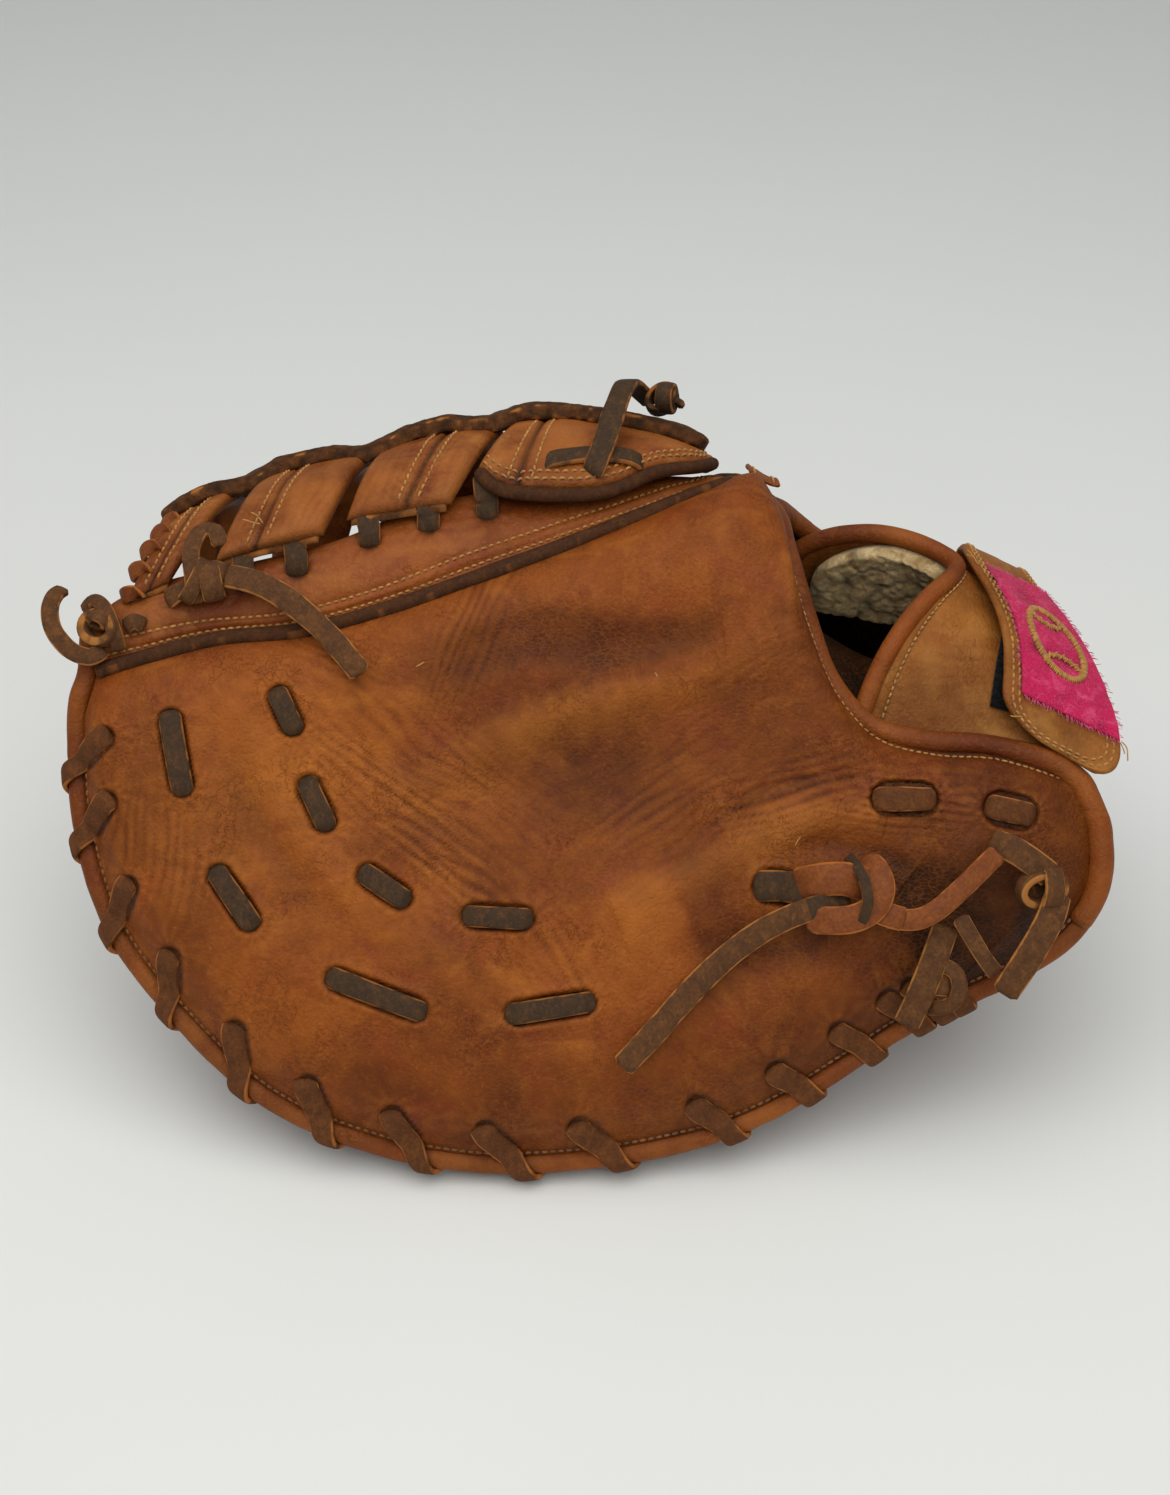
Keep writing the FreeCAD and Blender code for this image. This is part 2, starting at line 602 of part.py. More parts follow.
def make_dashes(half, dashes):
    strips = []
    for s0, t0, s1, t1 in dashes:
        s, t = (s0 + s1) / 2, (t0 + t1) / 2
        route = [(s0, t0, skin(s0, t0) + 0.4), (s, t, skin(s, t) + 1.2),
                 (s1, t1, skin(s1, t1) + 0.4)]
        strips.append(laid(half.back, route, steps=6, width=5.6))
    return Part.makeCompound(strips)


# loose lace ends: routes as (s, t, h) on the finger half, their widths and what they leave
HEEL_TAIL_LONG = [(66, 79.5, 26), (59, 77, 25.5), (49, 71.5, 23), (38, 62.5, 21), (27, 51, 20),
                  (18.5, 41, 20.5), (10, 32.5, 22)]
HEEL_TAIL_SHORT = [(88, 77, 26.5), (95, 75.5, 27), (102, 78, 26.5), (109, 84, 26),
                   (115.5, 90.5, 26.5), (121, 96, 27.5)]
WEB_TAIL = [(-110, 176.5, 12), (-103, 176, 12.5), (-94, 173.5, 13), (-85, 168, 14),
            (-76, 159.5, 16), (-68, 149.5, 18.5)]
TAIL_WIDTH = 7.5
SHORT_TAIL_WIDTH = 6.4


def rounded_path(points):
    """Straight runs joined by tangent arcs, each as large as its two runs allow."""
    edges, start, radii = [], points[0], []
    for before, corner, after in zip(points, points[1:], points[2:]):
        back, ahead = (before - corner), (after - corner)
        trim = 0.45 * min(back.Length, ahead.Length)
        back.normalize()
        ahead.normalize()
        half_turn = (math.pi - back.getAngle(ahead)) / 2
        radius = trim / math.tan(half_turn)
        bisector = (back + ahead).normalize()
        centre = corner + bisector * (radius / math.cos(half_turn))
        p, q = corner + back * trim, corner + ahead * trim
        edges.append(Part.LineSegment(start, p).toShape())
        edges.append(Part.Arc(p, centre - bisector * radius, q).toShape())
        radii.append(radius)
        start = q
    edges.append(Part.LineSegment(start, points[-1]).toShape())
    return Part.Wire(edges), radii


def make_tail(name, route, width=TAIL_WIDTH):
    """A flat lace end that lies free, from its knot to its cut end."""
    points = [FINGER.back(*p) for p in route]
    path, radii = rounded_path(points)
    ahead = (points[1] - points[0]).normalize()
    s, t, h = route[0]
    up = FINGER.back(s, t, h + 1) - points[0]
    side = ahead.cross(up).normalize() * (width / 2)
    rise = side.cross(ahead).normalize() * (LACE_THICK / 2)
    p = points[0]
    corners = [p - side - rise, p + side - rise, p + side + rise, p - side + rise, p - side - rise]
    tail = path.makePipeShell([Part.makePolygon(corners)], True, False)
    expected = width * LACE_THICK * path.Length
    print(f"{name}: length {path.Length:.1f}, radii {[round(r) for r in radii]}, "
          f"volume {tail.Volume:.0f} of {expected:.0f}")
    return Part.makeSolid(tail) if tail.ShapeType == "Shell" else tail


def make_laces():
    """The lacing of the finger half's back, heel and tips, with its knots and loose ends."""
    parts = {}
    parts["finger_pad_lace"] = make_dashes(FINGER, FINGER_DASHES)
    parts["thumb_pad_lace"] = make_dashes(THUMB, THUMB_DASHES)
    parts["heel_lace"] = make_dashes(FINGER, HEEL_DASHES)
    place = FINGER.back
    parts["heel_knot"] = Part.makeCompound([
        laid(place, [(50, 86, 17.5), (58, 86, 19.5), (68, 84, 21.5)], width=8),
        ball(place(76, 81, 25), 7)])
    parts["heel_lace_knot"] = Part.makeCompound([
        ball(place(134, 92, 22.5), 6),
        laid(place, [(121, 103, 23), (130, 99, 25)], steps=4),
        laid(place, [(140, 86, 24.5), (134, 70, 25.5), (126, 54, 23)], steps=4),
        laid(place, [(112, 74, 24.5), (117, 68, 26.5), (122, 62, 26)], steps=4),
        laid(place, [(106, 74, 20.5), (101, 60, 21), (97, 47, 17.5)], steps=4)])
    parts["tip_knot"] = Part.makeCompound([
        ball(place(-150, 160, 10), 5),
        laid(place, [(-156, 157, 12), (-163, 158, 13), (-165, 165, 12), (-163, 172, 10)],
             steps=6, width=5)])
    parts["web_knot"] = Part.makeCompound([
        ball(place(-116, 175.5, 10.5), 5.6),
        laid(place, [(-127, 173, 7), (-123, 174.5, 9)], steps=3),
        laid(place, [(-117, 182, 10.5), (-114, 187, 12), (-108, 183, 10)], steps=4, width=5)])
    parts["heel_knot_tail_long"] = make_tail("heel_knot_tail_long", HEEL_TAIL_LONG)
    parts["heel_knot_tail_short"] = make_tail("heel_knot_tail_short", HEEL_TAIL_SHORT,
                                              SHORT_TAIL_WIDTH)
    parts["web_knot_tail"] = make_tail("web_knot_tail", WEB_TAIL)
    return parts


def main():
    parts = {}
    for half, fan, tops, bands, stitches, corner in (
            (FINGER, FINGER_FAN, FINGER_PALM_TOP, FINGER_BAND_TOP, 15, 9.8 / 17),
            (THUMB, THUMB_FAN, THUMB_PALM_TOP, THUMB_BAND_TOP, 11, 10.1 / 16)):
        pieces = make_shells(half, fan, tops)
        pieces.update(make_rim(half, fan, stitches))
        pieces.update(make_band(half, fan, bands, 3))
        pieces.update(make_window_piping(half, fan, corner))
        pieces["heel_pad"] = make_heel_pad(half, fan, tops)
        parts.update({f"{half.name}_{name}": solid for name, solid in pieces.items()})
    parts["pinky_loop"] = make_loop(FINGER, 60, 48, -2, 9, 14)
    parts["thumb_loop"] = make_loop(THUMB, 30, 55, -3, 10, 14)
    parts.update(make_web_bars())
    parts.update(make_web_trim())
    parts["palm_crease"] = make_palm_crease()
    parts.update(make_wrist())
    parts.update(make_laces())
    os.makedirs("parts", exist_ok=True)
    for name, shape in parts.items():
        shape.translate(FLOOR_SHIFT)
        shape.exportStep(f"parts/{name}.step")
        if not shape.isValid():
            print("not valid:", name)
    print(len(parts), "parts")


main()
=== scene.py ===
"""Looks of the first baseman's mitt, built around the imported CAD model.

The two halves are flat faces joined by a rounded spine, so leather is laid out on that folded
sheet, as in the CAD source: s runs along X, t is the distance up a half's own face and on round
the spine, and h stands square to the sheet, outwards. Those lengths are in millimetres; adding
FLOOR_SHIFT brings them to the frame's origin, and mesh_piece() to metres.
"""
import math

import bmesh
import bpy
import numpy as np
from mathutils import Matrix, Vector


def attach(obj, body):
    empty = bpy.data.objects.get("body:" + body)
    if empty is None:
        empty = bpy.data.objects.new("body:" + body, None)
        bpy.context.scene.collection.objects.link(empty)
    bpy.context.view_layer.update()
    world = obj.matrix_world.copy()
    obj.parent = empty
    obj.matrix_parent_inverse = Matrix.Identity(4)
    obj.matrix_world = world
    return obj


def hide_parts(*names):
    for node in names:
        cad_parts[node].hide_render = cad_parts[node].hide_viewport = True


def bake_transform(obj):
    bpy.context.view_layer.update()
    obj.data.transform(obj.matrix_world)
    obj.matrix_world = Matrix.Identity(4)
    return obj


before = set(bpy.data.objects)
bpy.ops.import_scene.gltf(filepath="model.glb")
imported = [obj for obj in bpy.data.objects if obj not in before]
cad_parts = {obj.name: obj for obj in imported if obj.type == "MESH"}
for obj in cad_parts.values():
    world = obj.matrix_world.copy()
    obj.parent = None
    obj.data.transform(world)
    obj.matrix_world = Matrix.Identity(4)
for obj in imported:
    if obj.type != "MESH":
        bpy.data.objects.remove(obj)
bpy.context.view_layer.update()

# ---------------------------------------------------------------- the folded sheet
FINGER_SLOPE = math.radians(52)
THUMB_SLOPE = math.radians(68)
SPINE_R = 34
SPINE_TURN = FINGER_SLOPE + THUMB_SLOPE
PALM_SPINE_R = 25
LEATHER = 2.6
THIN_LEATHER = 1.6
CLEAR = 0.9             # between layers
RIM_INSET = 8.8         # from the rim line in to the shell's edge
EDGE_HEIGHT = 4.0       # of the shell's outside above the folded sheet, at its edges
FLOOR_SHIFT = np.array([2.37, -112.39, 7.45])
CREST = [(-160, 180), (-130, 195), (-90, 205), (-40, 213), (0, 214), (30, 212.5), (48, 209.5),
         (58, 204), (80, 202), (100, 200), (165, 196)]
PALM_DEPTH = [(-160, 9), (30, 9), (60, 20), (95, 30), (160, 34)]
# (s, t) on the rim line, then (s, t) on the seam, from the tip to the heel; the finger half's seam
# has its rise in place of t, and from_rise() turns it into t
FINGER_FAN = [
    (-159, 134, -150, 151), (-157, 104, -136, 155), (-147, 72, -112, 161),
    (-126.5, 44.5, -86, 163.5), (-99.5, 19.5, -60, 170.5), (-68, 5.5, -33, 180),
    (-33, -1, -8, 188), (2, 0.5, 16, 196.5),
    (32, 6, 36, 204), (54, 14, 50, 207.5), (70, 23, 58.5, 199), (84, 32, 62, 183),
    (98, 41, 68, 163), (114, 49, 75, 146), (130, 56.5, 87, 132.5), (148, 68, 104, 127.5),
    (158, 83, 124, 126), (160, 100, 148, 119)]
THUMB_FAN = [
    (-142, 84, -138, 94), (-140, 70, -126, 91), (-132, 52, -108, 91), (-117, 35, -88, 98),
    (-96, 21, -64, 106), (-70, 10, -38, 112), (-40, 3, -13, 120), (-8, 0, 10, 128),
    (24, 2, 30, 141), (52, 10, 48, 159), (76, 20, 59, 152), (97, 32, 68, 138),
    (114, 43, 80, 125), (128, 54, 94, 115), (141, 66, 110, 109), (150, 80, 128, 106),
    (153, 95, 143, 108)]
# (s, turn) of the palm's top edge, in radians round the spine
FINGER_PALM_TOP = [
    (-152, .30), (-146, .45), (-129, .62), (-104, .70), (-78, .76), (-50, .82), (-22, .84),
    (4, .84), (28, .80), (44, .55), (56, .0), (68, .0), (82, .0), (97, .0), (112, .0),
    (127, .0), (140, .0), (149, .0)]
THUMB_PALM_TOP = [
    (-139, -.9), (-131, -1.0), (-114, -.95), (-92, -.75), (-68, -.55), (-42, -.4), (-16, -.25),
    (8, -.1), (28, .2), (44, .4), (56, .0), (68, .0), (82, .0), (97, .0), (112, .0),
    (127, .0), (140, .0)]
FINGER_BAND_TOP = [(-153, 162), (-146, 171), (-129, 178), (-104, 183.5), (-78, 190), (-50, 201),
                   (-22, 206.5), (2, 208.5), (26, 210.5), (44, 209.5)]
THUMB_BAND_TOP = [(-139, 104), (-129, 104), (-112, 103), (-88, 114), (-63, 122), (-36, 128),
                  (-12, 136), (10, 146), (28, 156), (42, 164)]


def smooth(table, x):
    """y at x on a smooth curve through (x, y) rows."""
    table = np.asarray(table, float)
    xs, ys = table[:, 0], table[:, 1]
    last = len(xs) - 1
    number = np.arange(last + 1)
    before, after = np.maximum(number - 1, 0), np.minimum(number + 1, last)
    slopes = (ys[after] - ys[before]) / (xs[after] - xs[before])
    x = np.clip(x, xs[0], xs[-1])
    n = np.clip(np.searchsorted(xs, x, side="right") - 1, 0, last - 1)
    w = xs[n + 1] - xs[n]
    k = (x - xs[n]) / w
    return ((2 * k**3 - 3 * k**2 + 1) * ys[n] + (k**3 - 2 * k**2 + k) * w * slopes[n]
            + (3 * k**2 - 2 * k**3) * ys[n + 1] + (k**3 - k**2) * w * slopes[n + 1])


def along(rows, u):
    """Points at u, from 0 to 1, on a smooth curve through rows; the result has one axis more."""
    rows = np.asarray(rows, float)
    last = len(rows) - 1
    x = np.clip(u, 0, 1) * last
    n = np.minimum(x.astype(int) if isinstance(x, np.ndarray) else int(x), last - 1)
    k = np.asarray(x - n)[..., None]
    a, b, c, d = (rows[np.clip(n + i, 0, last)] for i in (-1, 0, 1, 2))
    return 0.5 * (2 * b + (c - a) * k + (2 * a - 5 * b + 4 * c - d) * k**2
                  + (3 * b - a - 3 * c + d) * k**3)


def step(low, high, x):
    k = np.clip((x - low) / (high - low), 0, 1)
    return k * k * (3 - 2 * k)


def bell(x, width, y=0.0, height=1.0):
    """1 at the middle, falling to 0 over about that width, and over that height along y."""
    return np.exp(-(x / width)**2 - (y / height)**2)


def clear_of(distance, reach):
    """0 at an edge, rising to 1 further than that reach from it."""
    return 1 - np.exp(-distance / reach)


def between(a, b, share):
    return a + (b - a) * share


def fold_start(s):
    return smooth(CREST, s) - SPINE_R


def spine_centre(s):
    g = fold_start(s)
    return (g * math.cos(FINGER_SLOPE) + SPINE_R * math.sin(FINGER_SLOPE),
            g * math.sin(FINGER_SLOPE) - SPINE_R * math.cos(FINGER_SLOPE))


class Half:
    """One half of the folded sheet, with t measured up its own face."""

    def __init__(self, name, slope, side):
        self.name, self.slope, self.side = name, slope, side
        self.body = name + "_half"

    def face_length(self, s):
        if self.side > 0:
            return fold_start(s)
        return (spine_centre(s)[1] + SPINE_R * math.cos(self.slope)) / math.sin(self.slope)

    def normal(self, turn):
        lean = self.slope - turn
        return -self.side * np.sin(lean), np.cos(lean)

    def bend(self, s, t, h, radius, start, centre):
        turn = np.maximum(0, (t - start) / radius)
        ny, nz = self.normal(turn)
        below = np.maximum(0, start - t)
        y = centre[0] + (radius + h) * ny - below * math.cos(self.slope) * self.side
        z = centre[1] + (radius + h) * nz - below * math.sin(self.slope)
        return np.stack(np.broadcast_arrays(s, y, z), -1) + FLOOR_SHIFT

    def back(self, s, t, h):
        """Points h outside the folded sheet."""
        s, t, h = (np.asarray(v, float) for v in (s, t, h))
        return self.bend(s, t, h, SPINE_R, self.face_length(s), spine_centre(s))

    def palm_start(self, s):
        loss = smooth(PALM_DEPTH, s) + PALM_SPINE_R - SPINE_R
        return self.face_length(s) - loss / math.tan(math.pi / 2 - SPINE_TURN / 2)

    def palm(self, s, t, lift):
        """Points lift outside the palm's own folded sheet."""
        drop = (smooth(PALM_DEPTH, s) + PALM_SPINE_R - SPINE_R) / math.cos(SPINE_TURN / 2)
        ny, nz = FINGER.normal(SPINE_TURN / 2)
        y, z = spine_centre(s)
        return self.bend(s, t, lift, PALM_SPINE_R, self.palm_start(s),
                         (y - drop * ny, z - drop * nz))

    def from_rise(self, s, rise):
        """The distance t of a point whose height is measured square to the finger half."""
        over_by = np.clip((rise - self.face_length(s)) / SPINE_R, 0, 0.999)
        return np.minimum(rise, self.face_length(s)) + SPINE_R * np.arcsin(over_by)


FINGER = Half("finger", FINGER_SLOPE, 1)
THUMB = Half("thumb", THUMB_SLOPE, -1)


def over(s, turn, h):
    """Points over the spine: turn is in degrees from the end of the finger half's face."""
    s, turn, h = np.broadcast_arrays(*(np.asarray(v, float) for v in (s, turn, h)))
    y, z = spine_centre(s)
    lean = FINGER_SLOPE - np.radians(turn)
    reach = SPINE_R + h
    return np.stack([s, y - reach * np.sin(lean), z + reach * np.cos(lean)], -1) + FLOOR_SHIFT


# ---------------------------------------------------------------- mesh tools
def noise(points, size, seed):
    """Smooth noise from about -1 to 1 with bumps of that size."""
    points = np.asarray(points, float)
    if points.shape[-1] == 2:
        points = np.concatenate([points, np.zeros(points.shape[:-1] + (1,))], -1)
    table = np.random.default_rng(seed).uniform(-1, 1, (32, 32, 32))
    q = points / size + 7.3
    cell = np.floor(q).astype(int)
    f = q - cell
    f = f * f * (3 - 2 * f)
    total = 0
    for corner in range(8):
        bits = [(corner >> axis) & 1 for axis in range(3)]
        index = tuple((cell[..., axis] + bits[axis]) % 32 for axis in range(3))
        weight = 1
        for axis in range(3):
            weight = weight * (f[..., axis] if bits[axis] else 1 - f[..., axis])
        total = total + weight * table[index]
    return total


def spread(count, fine=0.012):
    """Steps from 0 to 1 that are closer together at both ends."""
    ends = np.array([0, 0.12, 0.35, 0.65]) * fine
    middle = np.linspace(fine, 1 - fine, count - 8)
    return np.concatenate([ends, middle, 1 - ends[::-1]])


def tufts(points, size, seed):
    """0 at the middle of each of many scattered lumps of that size, rising to about 1 between."""
    table = np.random.default_rng(seed).uniform(0, 1, (16, 16, 16, 3))
    q = np.asarray(points, float) / size + 3.1
    cell = np.floor(q).astype(int)
    nearest = np.full(q.shape[:-1], 9.0)
    for x in (-1, 0, 1):
        for y in (-1, 0, 1):
            for z in (-1, 0, 1):
                other = cell + (x, y, z)
                middle = other + table[tuple((other[..., k] % 16) for k in range(3))]
                nearest = np.minimum(nearest, np.linalg.norm(q - middle, axis=-1))
    return nearest


def unit(v):
    return v / np.maximum(np.linalg.norm(v, axis=-1, keepdims=True), 1e-9)


def travelled(points):
    """Distance along a line of points."""
    return np.concatenate([[0], np.cumsum(np.linalg.norm(np.diff(points, axis=0), axis=1))])


def resample(points, spacing, *more):
    """The same line with even spacing, and any values that go with its points."""
    x = travelled(points)
    at = np.linspace(0, x[-1], max(int(round(x[-1] / spacing)), 2) + 1)
    out = []
    for rows in (points,) + more:
        out.append(np.stack([np.interp(at, x, rows[:, k]) for k in range(rows.shape[1])], -1))
    return out if more else out[0]


def grid_faces(rows, cols, first=0, wrap=False):
    """Quads of a grid of points; wrap joins its last column to its first."""
    r = np.arange(rows - 1)[:, None] * cols
    c = np.arange(cols if wrap else cols - 1)[None, :]
    d = (c + 1) % cols
    quads = np.stack([r + c, r + d, r + cols + d, r + cols + c], -1)
    return (quads.reshape(-1, 4) + first).tolist()


class Parts:
    """Points and faces gathered for one mesh, with how dark each point is, from grime or painted
    shade, and how pale, from wear or painted highlight.
    """

    def __init__(self):
        self.points, self.faces, self.dark, self.worn, self.count = [], [], [], [], 0

    def add(self, points, faces, dark=0, worn=0):
        points = np.asarray(points, float).reshape(-1, 3)
        self.faces += [[i + self.count for i in face] for face in faces]
        self.points.append(points)
        for values, store in ((dark, self.dark), (worn, self.worn)):
            store.append(np.broadcast_to(np.asarray(values, float).reshape(-1), (len(points),))
                         if np.size(values) > 1 else np.full(len(points), float(np.mean(values))))
        self.count += len(points)


def edge_fall(grid, radius):
    """1 away from a grid's borders, falling like a quarter round to 0 at them."""
    across = np.concatenate([np.zeros((len(grid), 1)),
                             np.cumsum(np.linalg.norm(np.diff(grid, axis=1), axis=2), 1)], 1)
    lengthwise = np.concatenate([np.zeros((1, grid.shape[1])),
                                 np.cumsum(np.linalg.norm(np.diff(grid, axis=0), axis=2), 0)])
    fall = np.ones(grid.shape[:2])
    for gap in (across, across[:, -1:] - across, lengthwise, lengthwise[-1:] - lengthwise):
        x = np.clip(gap / radius, 0, 1)
        fall = fall * np.sqrt(1 - (1 - x)**2)
    return fall


def borders(rows, cols):
    """Numbers of the points along a grid's four borders."""
    grid = np.arange(rows * cols).reshape(rows, cols)
    return [line.tolist() for line in (grid[0], grid[-1], grid[:, 0], grid[:, -1])]


def slab(outer, inner, dark, worn, coarse=1, radius=None):
    """A sheet with rounded edges between two grids; coarse thins out the inner grid."""
    thick = np.linalg.norm(outer - inner, axis=2).mean()
    fall = edge_fall(outer, radius or thick * 0.55)
    fall = np.maximum(fall, 0.08)[..., None]
    middle = (outer + inner) / 2
    outer = between(middle, outer, fall)
    inner = between(middle, inner, fall)[::coarse, ::coarse]
    rows, cols = outer.shape[:2]
    few_rows, few_cols = inner.shape[:2]
    first = rows * cols
    faces = grid_faces(rows, cols) + grid_faces(few_rows, few_cols, first)
    for here, there in zip(borders(rows, cols), borders(few_rows, few_cols)):
        for k in range(len(there) - 1):
            run = here[k * coarse:(k + 1) * coarse + 1]
            faces.append(run + [first + there[k + 1], first + there[k]])
    part = Parts()
    points = np.concatenate([outer.reshape(-1, 3), inner.reshape(-1, 3)])

    def both(values):
        if np.size(values) == 1:
            return values
        return np.concatenate([values.reshape(-1), values[::coarse, ::coarse].reshape(-1)])
    part.add(points, faces, both(dark), both(worn))
    return part


def carried_ups(points):
    """Directions square to a line that turn no more than they have to."""
    ahead = unit(np.gradient(points, axis=0))
    up, ups = np.array([0.0, 0.0, 1.0]), []
    for direction in ahead:
        up = up - direction * up.dot(direction)
        if np.linalg.norm(up) < 0.05:
            up = np.cross(direction, [1, 0, 0])
        up = up / np.linalg.norm(up)
        ups.append(up)
    return np.array(ups)


def sweep(points, ups, profile, wide=1.0, tall=1.0, dark=0, worn=0, closed=False, blunt=1.0,
          tip=0.62):
    """A closed section, as (beside, above) rows, carried along a line of points."""
    points = np.asarray(points, float)
    count = len(points)
    wide, tall = np.broadcast_to(wide, count).copy(), np.broadcast_to(tall, count).copy()
    if not closed:
        x = travelled(points)
        gap = np.clip(np.minimum(x, x[-1] - x) / max(blunt, 1e-6), 0, 1)
        wide = wide * (tip + (1 - tip) * np.sqrt(1 - (1 - gap)**2))
        tall = tall * (0.55 + 0.45 * np.sqrt(1 - (1 - gap)**2))
        ahead = unit(np.gradient(points, axis=0))
    else:
        looped = np.concatenate([points[-2:], points, points[:2]])
        ahead = unit(np.gradient(looped, axis=0))[2:-2]
    side = unit(np.cross(ahead, ups))
    rise = np.cross(side, ahead)
    profile = np.asarray(profile, float)
    rings = (points[:, None] + side[:, None] * (profile[None, :, :1] * wide[:, None, None])
             + rise[:, None] * (profile[None, :, 1:] * tall[:, None, None]))
    sides = len(profile)
    faces = grid_faces(count, sides, wrap=True)
    if closed:
        last = (count - 1) * sides
        faces += [[last + k, last + (k + 1) % sides, (k + 1) % sides, k] for k in range(sides)]
    else:
        faces += [list(range(sides)), [(count - 1) * sides + k for k in range(sides)]]
    part = Parts()

    def spreadout(values):
        values = np.asarray(values, float)
        if values.size == 1:
            return values
        return np.broadcast_to(values, (count, sides)).reshape(-1)
    part.add(rings.reshape(-1, 3), faces, spreadout(dark), spreadout(worn))
    return part


def lace_section(width, thick):
    """Section of a leather lace: flat faces, slightly crowned, and rounded edges."""
    sides = 18
    a = np.linspace(0, 2 * math.pi, sides, endpoint=False) + math.pi / sides
    x = np.sign(np.cos(a)) * np.abs(np.cos(a))**0.45 * width / 2
    y = np.sign(np.sin(a)) * np.abs(np.sin(a))**0.7 * thick / 2
    return np.stack([x, y], -1)


def round_section(radius, sides):
    a = np.linspace(0, 2 * math.pi, sides, endpoint=False)
    return np.stack([np.cos(a), np.sin(a)], -1) * radius


def lace(route, ups, width, seed, thick=2.2, spacing=1.0, blunt=1.0, closed=False, tip=0.62,
         taper=1.0):
    """A leather lace on a line of points, with its uneven width and pale cut edges."""
    route, ups = resample(route, spacing, ups)
    if closed:
        route, ups = route[:-1], ups[:-1]
    section = lace_section(width, thick)
    spots = route + seed * 31.7
    wide = (1 + 0.06 * noise(spots, 9, seed)) * np.linspace(1, taper, len(route))
    tall = 1 + 0.14 * noise(spots, 5, seed + 1)
    edge = np.abs(section[:, 0]) > width * 0.43
    bits = noise(np.repeat(spots[:, None], len(section), 1) + section[None, :, :1] * 0.3, 2.2,
                 seed + 2)
    worn = np.where(edge[None], 0.7 + 0.6 * bits, 0.05 + 0.2 * bits)
    return sweep(route, ups, section, wide, tall, dark=0, worn=np.clip(worn, 0, 1),
                 closed=closed, blunt=blunt, tip=tip)


def laid(rows, count, place):
    """A smooth line through rows of sheet coordinates, and its outward directions."""
    route = along(rows, np.linspace(0, 1, count))
    spots = place(*route.T)
    return spots, place(route[:, 0], route[:, 1], route[:, 2] + 1) - spots


def relaxed(rows, times):
    """The same line with its corners softened, and both of its ends kept."""
    for _ in range(times):
        rows[1:-1] = (rows[:-2] + 2 * rows[1:-1] + rows[2:]) / 4
    return rows


def steps(span, count, fine=0.012):
    """Steps from one end of a span to the other that are closer together at both ends."""
    return span[0] + (span[1] - span[0]) * spread(count, fine)


def shade_inside(part, outer_count):
    """The part with painted shade on its inner grid, the side that faces the hand, where the
    mitt's inside lies in shade.
    """
    part.dark[0] = np.concatenate([part.dark[0][:outer_count],
                                   np.full(part.count - outer_count, INSIDE_SHADE)])
    return part


def gather(*parts):
    whole = Parts()
    for part in parts:
        whole.add(np.concatenate(part.points), part.faces, np.concatenate(part.dark),
                  np.concatenate(part.worn))
    return whole


def stitches(points, ups, seed, pitch=2.4, length=1.9, radius=0.36, lift=0.1, slant=0.0):
    """A row of thread stitches whose ends dip into the leather."""
    x = travelled(points)
    count = max(int(x[-1] / pitch), 1)
    rng = np.random.default_rng(seed)
    at = (np.arange(count) + 0.5) * x[-1] / count
    spot, up, ahead = (np.stack([np.interp(at, x, rows[:, k]) for k in range(3)], -1)
                       for rows in (points, ups, np.gradient(points, axis=0)))
    ahead, up = unit(ahead), unit(up)
    side = unit(np.cross(ahead, up))
    turn = slant + rng.normal(0, 0.09, count)[:, None]
    ahead, side = (ahead * np.cos(turn) + side * np.sin(turn),
                   side * np.cos(turn) - ahead * np.sin(turn))
    half = length / 2 * (1 + rng.normal(0, 0.06, count))
    reach = np.array([-1, -0.8, -0.4, 0, 0.4, 0.8, 1])
    girth = np.array([0.35, 0.8, 1, 1.04, 1, 0.8, 0.35]) * radius
    arch = lift + radius * np.array([-1.5, -0.35, 0.35, 0.5, 0.35, -0.35, -1.5])
    turns = np.linspace(0, 2 * math.pi, 6, endpoint=False)
    rings = (spot[:, None, None] + ahead[:, None, None] * (half[:, None] * reach)[:, :, None, None]
             + up[:, None, None] * (arch[:, None] + girth[:, None] * np.sin(turns))[..., None]
             + side[:, None, None] * (girth[:, None] * np.cos(turns))[..., None])
    part = Parts()
    sides, size = len(turns), len(reach) * len(turns)
    starts = np.arange(count)[:, None] * size
    faces = (np.array(grid_faces(len(reach), sides, wrap=True)) + starts[..., None]).reshape(-1, 4)
    faces = faces.tolist()
    for cap in (np.arange(sides), np.arange(size - sides, size)):
        faces += (cap + starts).tolist()
    part.add(rings.reshape(-1, 3), faces, np.repeat(rng.uniform(0, 0.6, count), size),
             np.repeat(rng.uniform(0, 1, count), size))
    return part


def mesh_piece(name, part, material, body, slot, *nodes):
    """A piece from gathered points in millimetres; with body "fold" its transform is baked in,
    else it is parented to that body's empty.
    """
    mesh = bpy.data.meshes.new(name)
    mesh.from_pydata((np.concatenate(part.points) * 0.001).tolist(), [], part.faces)
    for label, store in (("dark", part.dark), ("worn", part.worn)):
        attribute = mesh.attributes.new(label, "FLOAT", "POINT")
        attribute.data.foreach_set("value", np.concatenate(store).astype(np.float32))
    shape = bmesh.new()
    shape.from_mesh(mesh)
    bmesh.ops.recalc_face_normals(shape, faces=shape.faces)
    shape.to_mesh(mesh)
    shape.free()
    mesh.shade_smooth()
    mesh.materials.append(material)
    piece = bpy.data.objects.new(name, mesh)
    bpy.context.scene.collection.objects.link(piece)
    if body == "fold":
        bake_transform(piece)
    else:
        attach(piece, body)
    if nodes:
        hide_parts(*nodes)
    return piece


